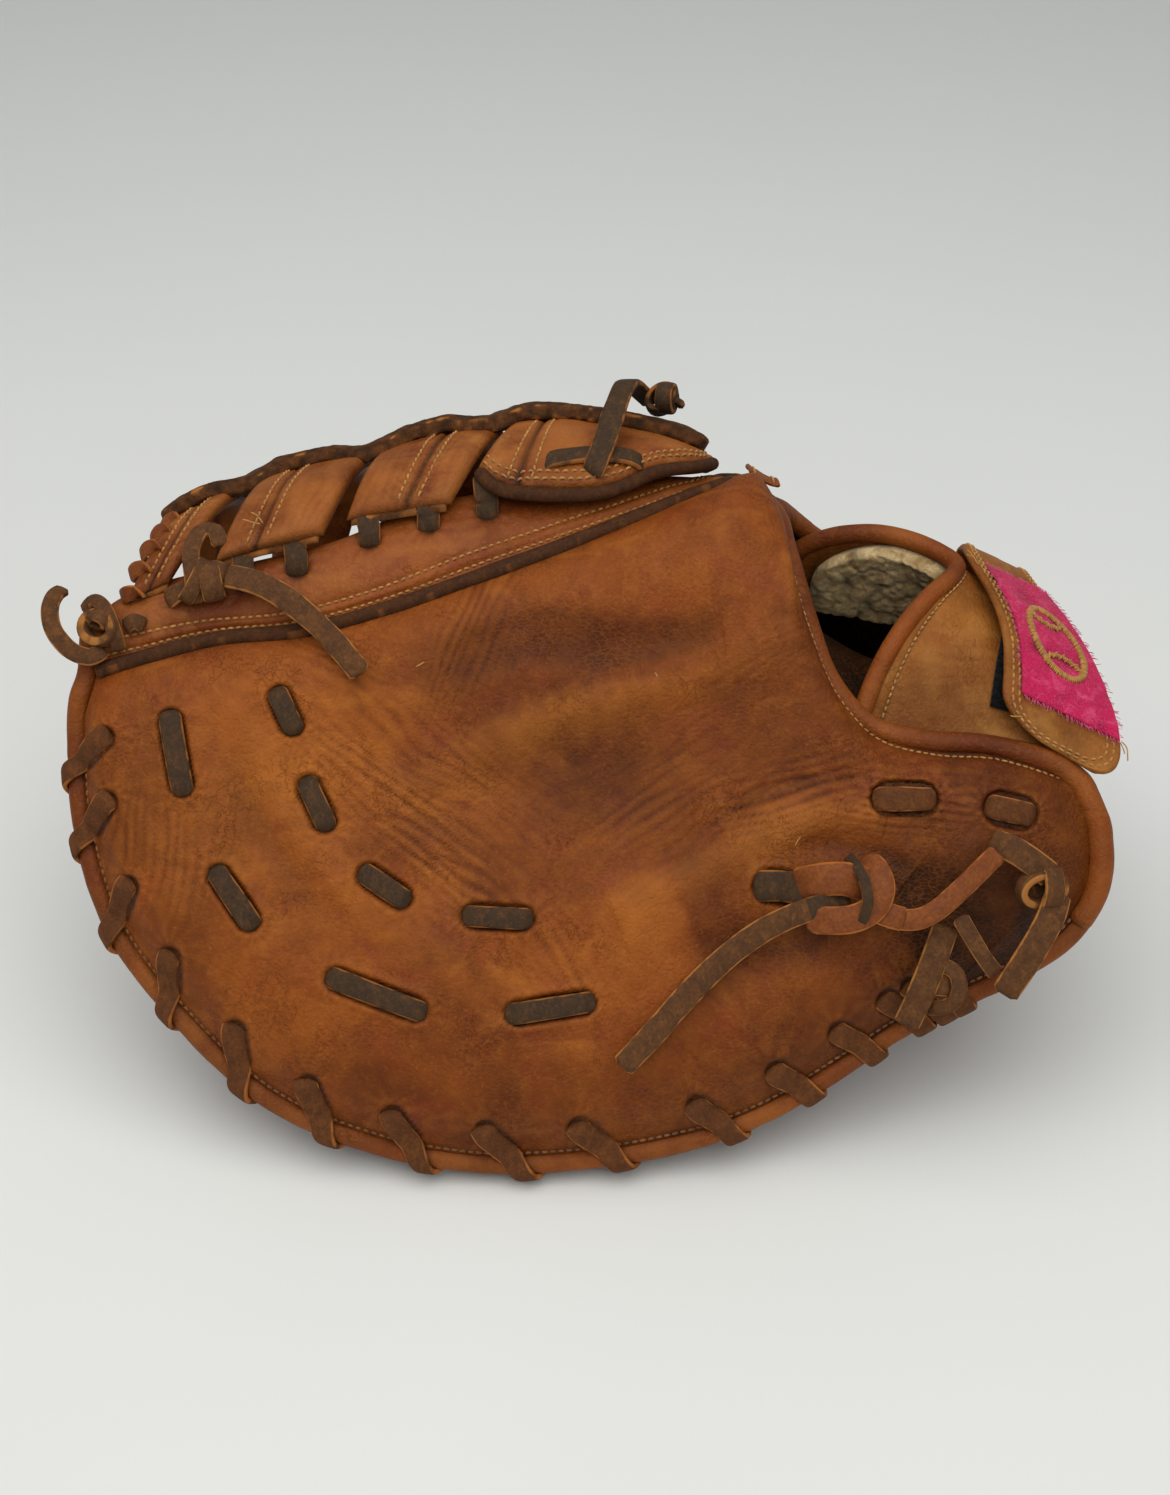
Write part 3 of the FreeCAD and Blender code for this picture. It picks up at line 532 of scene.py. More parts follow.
# ---------------------------------------------------------------- materials
class Shader:
    """A material's node tree, with short calls for the nodes used here."""

    def __init__(self, name, specular, roughness=0.5, sheen=0.0):
        self.material = bpy.data.materials.new(name)
        self.material.use_nodes = True
        self.nodes, self.links = self.material.node_tree.nodes, self.material.node_tree.links
        self.surface = self.nodes["Principled BSDF"]
        self.surface.inputs["Specular IOR Level"].default_value = specular
        self.surface.inputs["Sheen Weight"].default_value = sheen
        self.surface.inputs["Sheen Roughness"].default_value = 0.5
        self.surface.inputs["Roughness"].default_value = roughness
        self.place = self.nodes.new("ShaderNodeTexCoord").outputs["Object"]

    def feed(self, socket, value):
        if isinstance(value, bpy.types.NodeSocket):
            self.links.new(value, socket)
        else:
            socket.default_value = value

    def stretch(self, scale, turn):
        node = self.nodes.new("ShaderNodeMapping")
        node.inputs["Scale"].default_value = scale
        node.inputs["Rotation"].default_value = turn
        self.links.new(self.place, node.inputs["Vector"])
        return node.outputs["Vector"]

    def clouds(self, size, detail=3.0, rough=0.55, warp=0.0, at=None):
        """Noise whose bumps are that many millimetres across."""
        node = self.nodes.new("ShaderNodeTexNoise")
        self.links.new(at or self.place, node.inputs["Vector"])
        node.inputs["Scale"].default_value = 1000 / size
        node.inputs["Detail"].default_value = detail
        node.inputs["Roughness"].default_value = rough
        node.inputs["Distortion"].default_value = warp
        return node.outputs["Fac"]

    def cells(self, size, feature="F1", at=None):
        node = self.nodes.new("ShaderNodeTexVoronoi")
        node.feature = feature
        self.links.new(at or self.place, node.inputs["Vector"])
        node.inputs["Scale"].default_value = 1000 / size
        return node.outputs["Distance"]

    def value(self, name):
        node = self.nodes.new("ShaderNodeAttribute")
        node.attribute_name = name
        return node.outputs["Fac"]

    def sum(self, kind, a, b, clamp=False):
        node = self.nodes.new("ShaderNodeMath")
        node.operation = kind
        node.use_clamp = clamp
        self.feed(node.inputs[0], a)
        self.feed(node.inputs[1], b)
        return node.outputs[0]

    def remap(self, value, low, high, to_low=0.0, to_high=1.0):
        node = self.nodes.new("ShaderNodeMapRange")
        self.feed(node.inputs["Value"], value)
        for socket, number in zip(("From Min", "From Max", "To Min", "To Max"),
                                  (low, high, to_low, to_high)):
            node.inputs[socket].default_value = number
        return node.outputs["Result"]

    def mix(self, share, a, b):
        node = self.nodes.new("ShaderNodeMix")
        node.data_type = "RGBA"
        self.feed(node.inputs[0], share)
        for socket, colour in ((node.inputs[6], a), (node.inputs[7], b)):
            self.feed(socket, colour if isinstance(colour, bpy.types.NodeSocket)
                      else srgb(*colour))
        return node.outputs[2]

    def tint(self, colour, mask, amount, other, clamp=False):
        """The colour, moved that far towards the other one where the mask is 1."""
        return self.mix(self.sum("MULTIPLY", mask, amount, clamp), colour, other)

    def bump(self, *layers):
        """Each layer is a height from 0 to 1 and its depth in millimetres."""
        normal = None
        for height, depth in layers:
            node = self.nodes.new("ShaderNodeBump")
            node.inputs["Distance"].default_value = depth / 1000
            node.inputs["Strength"].default_value = 1.0
            self.links.new(height, node.inputs["Height"])
            if normal:
                self.links.new(normal, node.inputs["Normal"])
            normal = node.outputs["Normal"]
        self.links.new(normal, self.surface.inputs["Normal"])

    def done(self, colour, roughness=None):
        self.links.new(colour, self.surface.inputs["Base Color"])
        if roughness is not None:
            self.feed(self.surface.inputs["Roughness"], roughness)
        return self.material


def srgb(red, green, blue):
    """A colour given in ordinary 0 to 255 numbers, as Blender's linear ones."""
    shares = [v / 255 for v in (red, green, blue)]
    return (*(v / 12.92 if v < 0.04045 else ((v + 0.055) / 1.055)**2.4 for v in shares), 1.0)


def shade(colour, share):
    return tuple(c * share for c in colour)


def leather(name, main, deep, red, pale, rough=0.5, grain=1.0):
    """Worn glove leather: soft clouds of colour, fibre flecks, a fine pebbled grain."""
    m = Shader(name, specular=0.15)
    broad = m.clouds(46, 3, 0.5, 0.6)
    patches = m.clouds(15, 4, 0.55, 0.4)
    colour = m.mix(m.remap(broad, 0.34, 0.66), deep, main)
    colour = m.tint(colour, m.remap(patches, 0.5, 0.72), 0.6, red)
    sun = m.clouds(24, 3, 0.6, 0.8, m.stretch((0.8, 1.3, 1.0), (0.4, 0.9, 0.2)))
    colour = m.tint(colour, m.remap(sun, 0.55, 0.8), 0.55, pale)
    fibres = m.clouds(1.3, 4, 0.7, 0.6, m.stretch((1.0, 0.8, 0.8), (0.3, 0.5, 0.9)))
    colour = m.tint(colour, m.remap(fibres, 0.55, 0.75), 0.3, pale)
    colour = m.tint(colour, m.remap(fibres, 0.48, 0.28), 0.3, deep)
    # paler where the points are worn, and where a highlight is painted on ridges and towards the
    # tip
    colour = m.tint(colour, m.value("worn"), 0.55, pale)
    # darker by the dark attribute: painted shade in hollows, creases and the inside, and real
    # grime and stain
    ragged = m.sum("MULTIPLY", m.value("dark"), m.remap(patches, 0.3, 0.6, 0.75, 1.1))
    colour = m.tint(colour, ragged, 0.85, shade(deep, 0.3), clamp=True)
    pebbles = m.cells(0.95)
    pores = m.clouds(0.5, 2, 0.6)
    creases = m.cells(4.2, "DISTANCE_TO_EDGE", m.stretch((1.0, 0.7, 1.5), (0.5, 0.2, 0.8)))
    ripple = m.clouds(3.0, 4, 0.65, 1.0, m.stretch((1.0, 0.6, 0.8), (0.2, 0.6, 0.6)))
    net = m.cells(1.3, "DISTANCE_TO_EDGE", m.stretch((0.5, 1.0, 1.0), (0.3, 0.5, 0.6)))
    used = m.remap(m.clouds(28, 3), 0.4, 0.62)
    thin = m.sum("MULTIPLY", m.remap(net, 0.0, 0.13, 1.0, 0.0), used)
    colour = m.tint(colour, thin, 0.15 * grain, pale)
    cracks = m.remap(m.sum("ABSOLUTE", m.sum("SUBTRACT", m.clouds(3.4, 3, 0.6, 0.5), 0.5), 0.0),
                     0.0, 0.03, 1.0, 0.0)
    cracks = m.sum("MULTIPLY", cracks, m.remap(m.clouds(21, 2), 0.5, 0.66))
    colour = m.tint(colour, cracks, 0.3 * grain, deep)
    m.bump((ripple, 0.32 * grain), (m.sum("SUBTRACT", 1.0, cracks), 0.15 * grain),
           (thin, 0.03 * grain),
           (m.remap(creases, 0.0, 0.16), 0.09 * grain),
           (pebbles, 0.15 * grain), (pores, 0.07 * grain))
    gloss = m.sum("ADD", m.remap(patches, 0.3, 0.7, rough + 0.07, rough - 0.06),
                  m.sum("MULTIPLY", pebbles, 0.08))
    return m.done(colour, gloss)


def rough_leather(name, top, edge, spots, depth, rough=0.8):
    """Lace and binding leather: dark faces, cut edges showing orange suede."""
    m = Shader(name, specular=0.14)
    blotch = m.clouds(5, 4, 0.65, 0.5)
    grit = m.clouds(0.9, 3, 0.7)
    hair = m.clouds(2.2, 3, 0.65, 0.2, m.stretch((1.0, 1.0, 0.4), (0.7, 0.3, 0.2)))
    colour = m.mix(m.remap(blotch, 0.4, 0.68), top, spots)
    colour = m.tint(colour, m.remap(hair, 0.5, 0.8), 0.28, edge)
    colour = m.tint(colour, m.remap(grit, 0.35, 0.6, 1.0, 0.0), 0.4, shade(top, 0.55))
    bare = m.sum("ADD", m.value("worn"), m.sum("MULTIPLY", grit, 0.3))
    colour = m.mix(m.remap(bare, 0.5, 0.95), colour, edge)
    colour = m.tint(colour, m.value("dark"), 0.9, shade(top, 0.3))
    m.bump((blotch, 0.35 * depth), (hair, depth), (grit, depth * 0.7))
    return m.done(colour, m.remap(blotch, 0.3, 0.7, rough - 0.12, rough + 0.08))


def thread(name, light, deep):
    m = Shader(name, specular=0.3, sheen=0.2)
    colour = m.mix(m.value("dark"), light, deep)
    colour = m.mix(m.remap(m.clouds(1.2, 2), 0.4, 0.7), colour, shade(light, 0.75))
    m.bump((m.clouds(0.35, 2, 0.6), 0.08))
    return m.done(colour, m.remap(m.clouds(0.8), 0.3, 0.7, 0.5, 0.75))


def wool(name, light, deep, size=5.0):
    m = Shader(name, specular=0.08, sheen=0.1)
    tufts = m.clouds(size, 4, 0.65, 1.2)
    hairs = m.clouds(0.7, 3, 0.7, 1.5)
    colour = m.mix(m.remap(tufts, 0.35, 0.65), deep, light)
    colour = m.tint(colour, m.remap(hairs, 0.4, 0.6, 1, 0), 0.5, deep)
    # darker by the dark attribute: painted shade between tufts and in dips
    colour = m.tint(colour, m.value("dark"), 0.9, shade(deep, 0.25))
    m.bump((tufts, 0.9), (hairs, 0.35))
    return m.done(colour, m.remap(hairs, 0.3, 0.7, 0.85, 1.0))


def weave(name, main, pale, deep):
    """Woven patch: fine crossing yarns, puckered, with scuffed pale places."""
    m = Shader(name, specular=0.1, sheen=0.1)
    warp = m.clouds(0.5, 2, 0.5, 0, m.stretch((1.0, 1.0, 0.25), (0.0, 0.5, 0.3)))
    weft = m.clouds(0.5, 2, 0.5, 0, m.stretch((1.0, 0.25, 1.0), (0.0, 0.5, 0.3)))
    yarns = m.sum("MULTIPLY", warp, weft)
    scuff = m.clouds(5, 5, 0.7, 0.8)
    fuzz = m.clouds(0.8, 3, 0.7, 1.0)
    colour = m.mix(m.remap(scuff, 0.5, 0.75), main, pale)
    colour = m.mix(m.remap(yarns, 0.12, 0.25, 0.5, 0.0), colour, deep)
    colour = m.tint(colour, m.remap(fuzz, 0.5, 0.75), 0.35, pale)
    # darker by the dark attribute: painted shade in the dips of the cloth
    colour = m.tint(colour, m.value("dark"), 0.9, deep)
    m.bump((scuff, 0.6), (yarns, 0.4), (fuzz, 0.25))
    return m.done(colour, m.remap(scuff, 0.3, 0.7, 0.75, 0.95))


SHELL = leather("shell_leather", (140, 71, 18), (100, 45, 9), (126, 50, 18), (188, 112, 40))
BAR = leather("bar_leather", (142, 74, 26), (104, 48, 16), (118, 48, 20), (190, 120, 54),
              rough=0.42, grain=0.7)
TAN = leather("tan_leather", (152, 92, 36), (114, 63, 20), (136, 72, 28), (190, 132, 62),
              grain=0.8)
ROLLED = leather("rolled_leather", (138, 70, 24), (94, 42, 14), (112, 46, 22), (176, 104, 42),
                 rough=0.45, grain=0.8)
LINING = leather("lining_leather", (116, 86, 58), (84, 60, 40), (104, 72, 50), (150, 118, 84),
                 rough=0.65, grain=0.6)
BINDING = rough_leather("dark_binding", (66, 38, 20), (132, 80, 36), (84, 50, 26), depth=0.25)
LACE = rough_leather("lace_leather", (64, 48, 34), (150, 92, 42), (80, 58, 38), depth=0.16)
WHIP = rough_leather("whip_leather", (92, 54, 28), (162, 98, 44), (112, 66, 34), depth=0.16)
WARM_LACE = rough_leather("warm_lace_leather", (122, 64, 30), (178, 106, 46), (140, 78, 36),
                          rough=0.6, depth=0.12)
TAIL_LACE = rough_leather("tail_leather", (84, 54, 32), (168, 110, 54), (106, 68, 38), depth=0.2)
SPINE = rough_leather("spine_leather", (80, 48, 24), (158, 98, 42), (108, 64, 30), depth=0.45)
GOLD = thread("gold_thread", (198, 142, 66), (140, 88, 34))
BROWN_THREAD = thread("brown_thread", (150, 90, 36), (84, 46, 20))
FLEECE = wool("fleece_wool", (226, 200, 150), (158, 126, 80))
FELT = wool("felt", (150, 140, 122), (104, 94, 78), size=3.0)
HOOKS = wool("hook_and_loop_nylon", (20, 19, 20), (6, 6, 7), size=1.6)
PATCH = weave("woven_patch", (196, 30, 82), (228, 88, 128), (112, 14, 44))
PINK_THREAD = thread("pink_thread", (232, 80, 132), (170, 26, 74))


# ---------------------------------------------------------------- relief of the leather
def fold(s, t, line, width, height):
    """A soft ridge, or with a negative height a valley, along a curve through (s, t) points."""
    count = 28
    samples = along(line, np.linspace(0, 1, count))
    best, where = np.full(s.shape, 1e9), np.zeros(s.shape)
    for k, (x, y) in enumerate(samples):
        gap = np.hypot(s - x, t - y)
        near = gap < best
        best = np.where(near, gap, best)
        where = np.where(near, k / (count - 1), where)
    return height * bell(best, width) * (0.25 + 0.75 * np.sqrt(4 * where * (1 - where)))


def wrinkles(s, t, centre, reach, angle, pitch, height, seed):
    """Fine wandering wrinkles that run at that angle inside an oval patch."""
    a = math.radians(angle)
    x, y = s - centre[0], t - centre[1]
    run, cross = x * math.cos(a) + y * math.sin(a), y * math.cos(a) - x * math.sin(a)
    mask = np.exp(-(run / reach[0])**2 - (cross / reach[1])**2)
    spots = np.stack([run * 0.35, cross], -1)
    wander = noise(spots, 11, seed) * 1.3 + noise(spots, 4.5, seed + 1) * 0.5
    broken = 0.35 + 0.65 * step(-0.5, 0.4, noise(spots, 7, seed + 2))
    phase = (cross / pitch + wander) * math.pi
    return height * mask * broken * (np.abs(np.sin(phase))**0.7 - 0.6)


def rays(s, t, centre, count, reach, height, seed):
    """Small wrinkles that run out from a lace hole."""
    r, a = np.hypot(s - centre[0], t - centre[1]), np.arctan2(t - centre[1], s - centre[0])
    wander = noise(np.stack([s, t], -1), 6, seed)
    waves = np.sin(count * a + 2.2 * wander + seed)
    return height * waves * np.exp(-r / reach) * step(1.5, 4.5, r)


FINGER_FOLDS = [
    ([(-56, 112), (-34, 127), (-8, 137), (26, 148), (58, 163)], 7.0, 2.1),
    ([(-44, 150), (-18, 161), (10, 158), (42, 161)], 8.5, -2.6),
    ([(8, 90), (30, 99), (48, 110), (66, 117), (86, 118)], 3.2, -1.2),
    ([(6, 79), (30, 90), (52, 101), (72, 108), (90, 105)], 6.5, 1.9),
    ([(8, 75), (27, 84)], 11.0, 1.4),
    ([(34, 66), (54, 71), (72, 71)], 8.0, -2.0),
    ([(-110, 150), (-98, 128), (-85, 101), (-64, 77), (-36, 62)], 7.5, 1.3),
    ([(-106, 120), (-93, 96), (-76, 74)], 6.0, -1.0),
    ([(94, 86), (108, 75), (120, 64)], 10.0, -4.0),
    ([(60, 96), (78, 98), (96, 92)], 4.0, -0.9)]
FINGER_WRINKLES = [
    ((-53, 115), (36, 21), -37, 3.4, 0.55), ((-36, 162), (24, 9), 68, 2.9, 0.4),
    ((96, 113), (24, 11), -6, 2.9, 0.45), ((74, 84), (12, 22), 82, 3.0, 0.35),
    ((-40, 94), (18, 11), -40, 2.8, 0.4), ((-80, 160), (24, 10), -24, 2.9, 0.45),
    ((48, 150), (20, 9), 26, 2.8, 0.35), ((60, 114), (26, 11), 15, 2.7, 0.45),
    ((-12, 62), (24, 14), -52, 3.0, 0.35), ((24, 110), (34, 16), 34, 3.2, 0.3),
    ((104, 66), (18, 16), 60, 3.0, 0.35), ((-128, 96), (18, 26), 75, 3.1, 0.3)]
FINGER_DASHES = [(-126, 138, -121.5, 113.5), (-112, 91, -100, 73.6), (-77.6, 59, -49, 48),
                 (-24, 47.5, 1.5, 51.5), (-94, 145, -88, 132), (-85, 118, -78, 103),
                 (-68, 90.5, -54, 81), (-37, 77, -17, 76)]
HEEL_DASHES = [(86, 112, 104, 112), (120, 110, 134, 107)]
THUMB_FOLDS = [
    ([(-66, 58), (-24, 72), (18, 88), (52, 106)], 7.0, 2.0),
    ([(-46, 88), (-4, 98), (30, 112)], 8.0, -2.3),
    ([(4, 60), (44, 76), (84, 84)], 4.0, -1.2),
    ([(0, 50), (40, 64), (80, 72)], 7.0, 1.7),
    ([(84, 66), (104, 58)], 9.0, -2.2)]
THUMB_WRINKLES = [
    ((-40, 74), (34, 16), 30, 3.2, 0.5), ((60, 92), (26, 12), 12, 2.8, 0.45),
    ((-90, 64), (20, 14), -48, 3.0, 0.4), ((20, 54), (26, 14), 60, 3.0, 0.35),
    ((100, 76), (18, 14), 70, 3.0, 0.4)]
THUMB_DASHES = [(-116, 72, -106, 56), (-88, 42, -68, 35), (-40, 31, -16, 30), (12, 33, 34, 38),
                (-78, 70, -62, 62), (-34, 58, -14, 57)]
STITCH_GAP = 1.5        # from the shell's edge to the row of stitches along the welt
WINDOW_STITCH = 2.4     # from the edge of the back opening to its row of stitches
EDGE_TUCK = 4.6         # how far the shell's edge runs down onto the welt
ROLL_R = 3.3            # the leather roll seen along the rim
ROLL_INSET = 2.1
ROLL_RISE = -2.2
WRAP_GAP = 1.1          # from the roll's skin to the middle of a lace wrapped over it
WHIP_LEAN = 0.022       # how far along the rim each whipped turn leans
WHIP_HOLE = 14.6        # from the rim line to the holes of the whipped turns
WHIP_FOOT = 4.6         # and to where those turns leave the shell for the roll
INSIDE_SHADE = 1.6       # painted shade on the side that faces the hand
PALM_INSET = 5.0        # the palm's edge, tucked onto the roll from below


def rim_at(fan, u, inset):
    """Points (s, t) inside the rim line by that much."""
    u = np.asarray(u, float)
    rows = along(fan, u)
    ahead = unit(along(fan, u + 0.01)[..., :2] - along(fan, u - 0.01)[..., :2])
    inward = np.stack([-ahead[..., 1], ahead[..., 0]], -1)
    flip = (inward * (rows[..., 2:] - rows[..., :2])).sum(-1, keepdims=True) < 0
    spot = rows[..., :2] + np.where(flip, -inward, inward) * np.asarray(inset)[..., None]
    return spot[..., 0], spot[..., 1]


def seam_at(half, fan, u):
    """Points (s, t) of the back shell's inner edge."""
    rows = along(fan, np.asarray(u, float))
    s, t = rows[..., 2], rows[..., 3]
    return s, (half.from_rise(s, t) if half is FINGER else t)


def back_height(s, t, d, e, ends):
    """Outside of the back shell above the folded sheet: d from the rim edge, e from the seam."""
    swell = 13 * clear_of(d, 11) * clear_of(e, 10) * ends
    dent = 7 * bell(s + 15, 75, t - 125, 34) * clear_of(e, 25)
    return EDGE_HEIGHT + swell - dent


class Surface:
    """The outside of a laid-out piece, to rest laces and stitches on."""

    def __init__(self, half, s, t, h):
        self.half = half
        self.s, self.t, self.h = s.ravel(), t.ravel(), h.ravel()

    def height(self, s, t):
        s, t = np.atleast_1d(s), np.atleast_1d(t)
        found = [np.argmin((self.s - x)**2 + (self.t - y)**2) for x, y in zip(s, t)]
        return self.h[found]

    def line(self, points, lift=0.0):
        """Points over the surface along (s, t) rows, with their outward directions."""
        route = resample(np.asarray(points, float), 0.8)
        h = self.height(route[:, 0], route[:, 1])
        kernel = np.ones(3) / 3
        if len(h) > 4:
            h = np.convolve(np.pad(h, 1, mode="edge"), kernel, "valid")
        spots = self.half.back(route[:, 0], route[:, 1], h + lift)
        return spots, self.half.back(route[:, 0], route[:, 1], h + lift + 1) - spots


def lace_holes(dashes):
    return [(s, t) for row in dashes for s, t in (row[:2], row[2:])]


def pressed(s, t, row):
    """Distance of each point from a lace that lies along (s0, t0, s1, t1)."""
    s0, t0, s1, t1 = row
    run = (s1 - s0)**2 + (t1 - t0)**2
    k = np.clip(((s - s0) * (s1 - s0) + (t - t0) * (t1 - t0)) / run, 0, 1)
    return np.hypot(s - s0 - k * (s1 - s0), t - t0 - k * (t1 - t0))


def leather_relief(s, t, folds, patches, holes, laces, seed):
    """Height of a shell's folds and of its fine wrinkles, and the painted shade round the laces
    pressed into it.
    """
    spots = np.stack([s, t], -1)
    total = 0.6 * noise(spots, 34, seed) + 0.25 * noise(spots, 9, seed + 1)
    fine = 0.12 * noise(spots, 3.6, seed + 3)
    for line, width, height in folds:
        total = total + fold(s, t, line, width, height)
    for n, (centre, reach, angle, pitch, height) in enumerate(patches):
        fine = fine + wrinkles(s, t, centre, reach, angle, pitch, 1.5 * height, seed + 10 + 3 * n)
    dark = np.zeros(s.shape)
    for n, hole in enumerate(holes):
        r = np.hypot(s - hole[0], t - hole[1])
        fine = fine + rays(s, t, hole, 9 + n % 5, 5.5, 0.2, seed + n)
        total = total - 0.6 * bell(r, 2.2)
    for width, row in laces:
        x = width * 0.42 / math.hypot(row[2] - row[0], row[3] - row[1])
        ends = (row[0] + (row[2] - row[0]) * x, row[1] + (row[3] - row[1]) * x,
                row[2] - (row[2] - row[0]) * x, row[3] - (row[3] - row[1]) * x)
        r = pressed(s, t, ends) - width / 2
        total = total - 1.1 * np.exp(-(np.maximum(r, 0) / 0.8)**2) \
            + 0.5 * bell(r - 1.7, 1.2)
        # painted shade just round each lace, where it sinks into the leather
        dark = np.maximum(dark, 0.85 * np.exp(-(np.maximum(r - 0.2, 0) / 0.5)**2))
    return total, fine, dark


def make_back_shell(half, fan, folds, patches, holes, laces, size, corner, seed):
    u, b = spread(size[0])[:, None], spread(size[1])[None]
    s0, t0 = rim_at(fan, u, RIM_INSET - EDGE_TUCK)
    s1, t1 = seam_at(half, fan, u)
    width = np.hypot(s1 - s0, t1 - t0)
    s, t = between(s0, s1, b), between(t0, t1, b)
    edge, e = b * width, (1 - b) * width
    d = edge - EDGE_TUCK
    relief, fine, dark = leather_relief(s, t, folds, patches, holes, laces, seed)
    start = u * (510 - 262 * b) * (1 if half is FINGER else 0.7)
    end = (1 - u) * (290 + 135 * b)
    ends = clear_of(start, 8) * clear_of(end, 9)
    quiet = clear_of(edge, 4) * clear_of(e, 5) * clear_of(start, 4)
    relief = relief + fine
    h = back_height(s, t, np.maximum(d, 0), e, ends) + relief * quiet + np.minimum(d, 0) * 0.75
    spots = np.stack([s, t], -1)
    pucker = noise(spots, 5.5, seed + 5) * 0.45
    h = h + pucker * bell(edge - 4.2, 2.6)
    h = h - 0.75 * bell(edge - STITCH_GAP, 0.8)
    at_window = step(corner - 0.01, corner + 0.01, u)
    h = h - at_window * 0.7 * bell(e - WINDOW_STITCH, 0.9)
    h = h + at_window * pucker * bell(e - 5, 2.6)
    outer, inner = half.back(s, t, h), half.back(s, t, h - LEATHER)
    # crease_shade: painted shade in the valleys of the folds and the fine wrinkles
    crease_shade = np.clip(-(relief - fine) * quiet / 2.8 - 0.1, 0, 0.45) + np.clip(-fine * 1.5, 0, 0.5)
    stain = 0.2 * step(0.1, 0.9, noise(spots, 40, seed + 6))
    # hollow_shade: painted shade in the hollow of the dent
    hollow_shade = 0.4 * bell(s - 5, 50, t - 120, 26) if half is FINGER else 0
    # low: painted shade low on the shell near the rim, in the hollows by the heel and under the
    # heel knot, and darker towards the heel
    low = 0.3 * bell(d, 26) * step(0.2, 0.5, u)
    if half is FINGER:
        low = low + 0.8 * bell(s - 119, 21, t - 75, 19)
        low = low + 0.16 * step(30, 110, s)
        low = low + 0.6 * bell(s - 117, 8, t - 60, 6)
        low = low + 0.3 * bell(s - 74, 38, t - 92, 14)
    # dark adds up the painted shade, a real blotchy stain, the shade round the laces and a darker
    # band along both edges
    dark = np.clip(dark + crease_shade + stain + hollow_shade + low + 0.55 * bell(edge - 1.2, 1.3)
                   + 0.5 * bell(e, 3.0), 0, 1)
    # lighter on the ridges of the folds and wrinkles: partly real rubbing, partly painted
    # highlight
    worn = np.clip((relief - fine) * quiet / 2.6 - 0.1, 0, 0.7) + np.clip(fine * 1.8, 0, 0.7)
    if half is FINGER:
        # painted highlights, paler towards the tip
        worn = worn + 0.3 * bell(s + 116, 32, t - 104, 42)
        worn = worn + 0.3 * bell(s + 84, 20, t - 122, 26)
    return (shade_inside(slab(outer, inner, dark, worn, coarse=4), s.size),
            Surface(half, s, t, h))


def palm_points(half, fan, tops, raise_by, u, b, inset=RIM_INSET):
    s0, t0 = rim_at(fan, u, inset)
    top = along(tops, u)
    s1, turn = top[..., 0], top[..., 1]
    t1 = half.palm_start(s1) - 1 + PALM_SPINE_R * turn
    width = np.hypot(s1 - s0, t1 - t0)
    s, t = between(s0, s1, b), between(t0, t1, b)
    depth = smooth(PALM_DEPTH, s)
    near_rim = np.exp(-b * width / 20)
    belly = (np.maximum(0, 22 - depth) * (1 - near_rim) * (1 - np.exp(-(1 - b) * width / 20)))
    lift = (depth - EDGE_HEIGHT) * near_rim - belly
    return half.palm(s, t, lift + raise_by), s, t


def make_palm(half, fan, tops, size, seed):
    u, b = spread(size[0])[:, None], spread(size[1])[None]
    _, s, t = palm_points(half, fan, tops, 0, u, b)
    spots = np.stack([s, t], -1)
    relief = 0.5 * noise(spots, 30, seed) + 0.25 * noise(spots, 8, seed + 1)
    for n, (centre, angle) in enumerate((((-70, 110), 30), ((0, 90), -20), ((60, 100), 50))):
        relief = relief + wrinkles(s, t, centre, (40, 26), angle, 3.4, 0.5, seed + 4 + 3 * n)
    outer, _, _ = palm_points(half, fan, tops, -relief * np.minimum(b * 12, 1), u, b, PALM_INSET)
    inner, _, _ = palm_points(half, fan, tops, LEATHER, u, b, PALM_INSET)
    # darker in the dips of the relief and lighter on its ridges: painted shade and highlight, over
    # random tone
    dark = np.clip(0.3 * noise(spots, 26, seed + 2) - relief / 3, 0, 0.6)
    worn = np.clip(relief / 2, 0, 0.6)
    return shade_inside(slab(outer, inner, dark, worn, coarse=4), s.size)


def padded_sheet(half, fan, tops, low, high, u_span, b_span, size, seed):
    """A felt pad or lining between the palm and the hand, thinner towards its edges."""
    u, b = steps(u_span, size[0])[:, None], steps(b_span, size[1])[None]
    _, s, t = palm_points(half, fan, tops, 0, u, b)
    lumps = 0.3 * noise(np.stack([s, t], -1), 12, seed)
    top = palm_points(half, fan, tops, high - 0.2 + np.minimum(lumps, 0.15), u, b)[0]
    bottom = palm_points(half, fan, tops, low + 0.1, u, b)[0]
    # darker in its dips and lighter on its lumps: painted shade and highlight
    return slab(top, bottom, np.clip(-lumps, 0, 0.3), np.clip(lumps, 0, 0.3))


def outward(half, s, t, h):
    return half.back(s, t, h + 1) - half.back(s, t, h)


def past_tip(half, height):
    """Points (s, t, h) that carry the rim's roll on past the tip, up to the web's band."""
    if half is FINGER:
        rows = [(-153.5, 163.5), (-153.0, 157), (-153.4, 150), (-156.2, 142.5)]
    else:
        rows = [(-138.8, 103), (-139, 98), (-139.8, 93.5), (-140.4, 89)]
    return [(s, t, height) for s, t in rows]


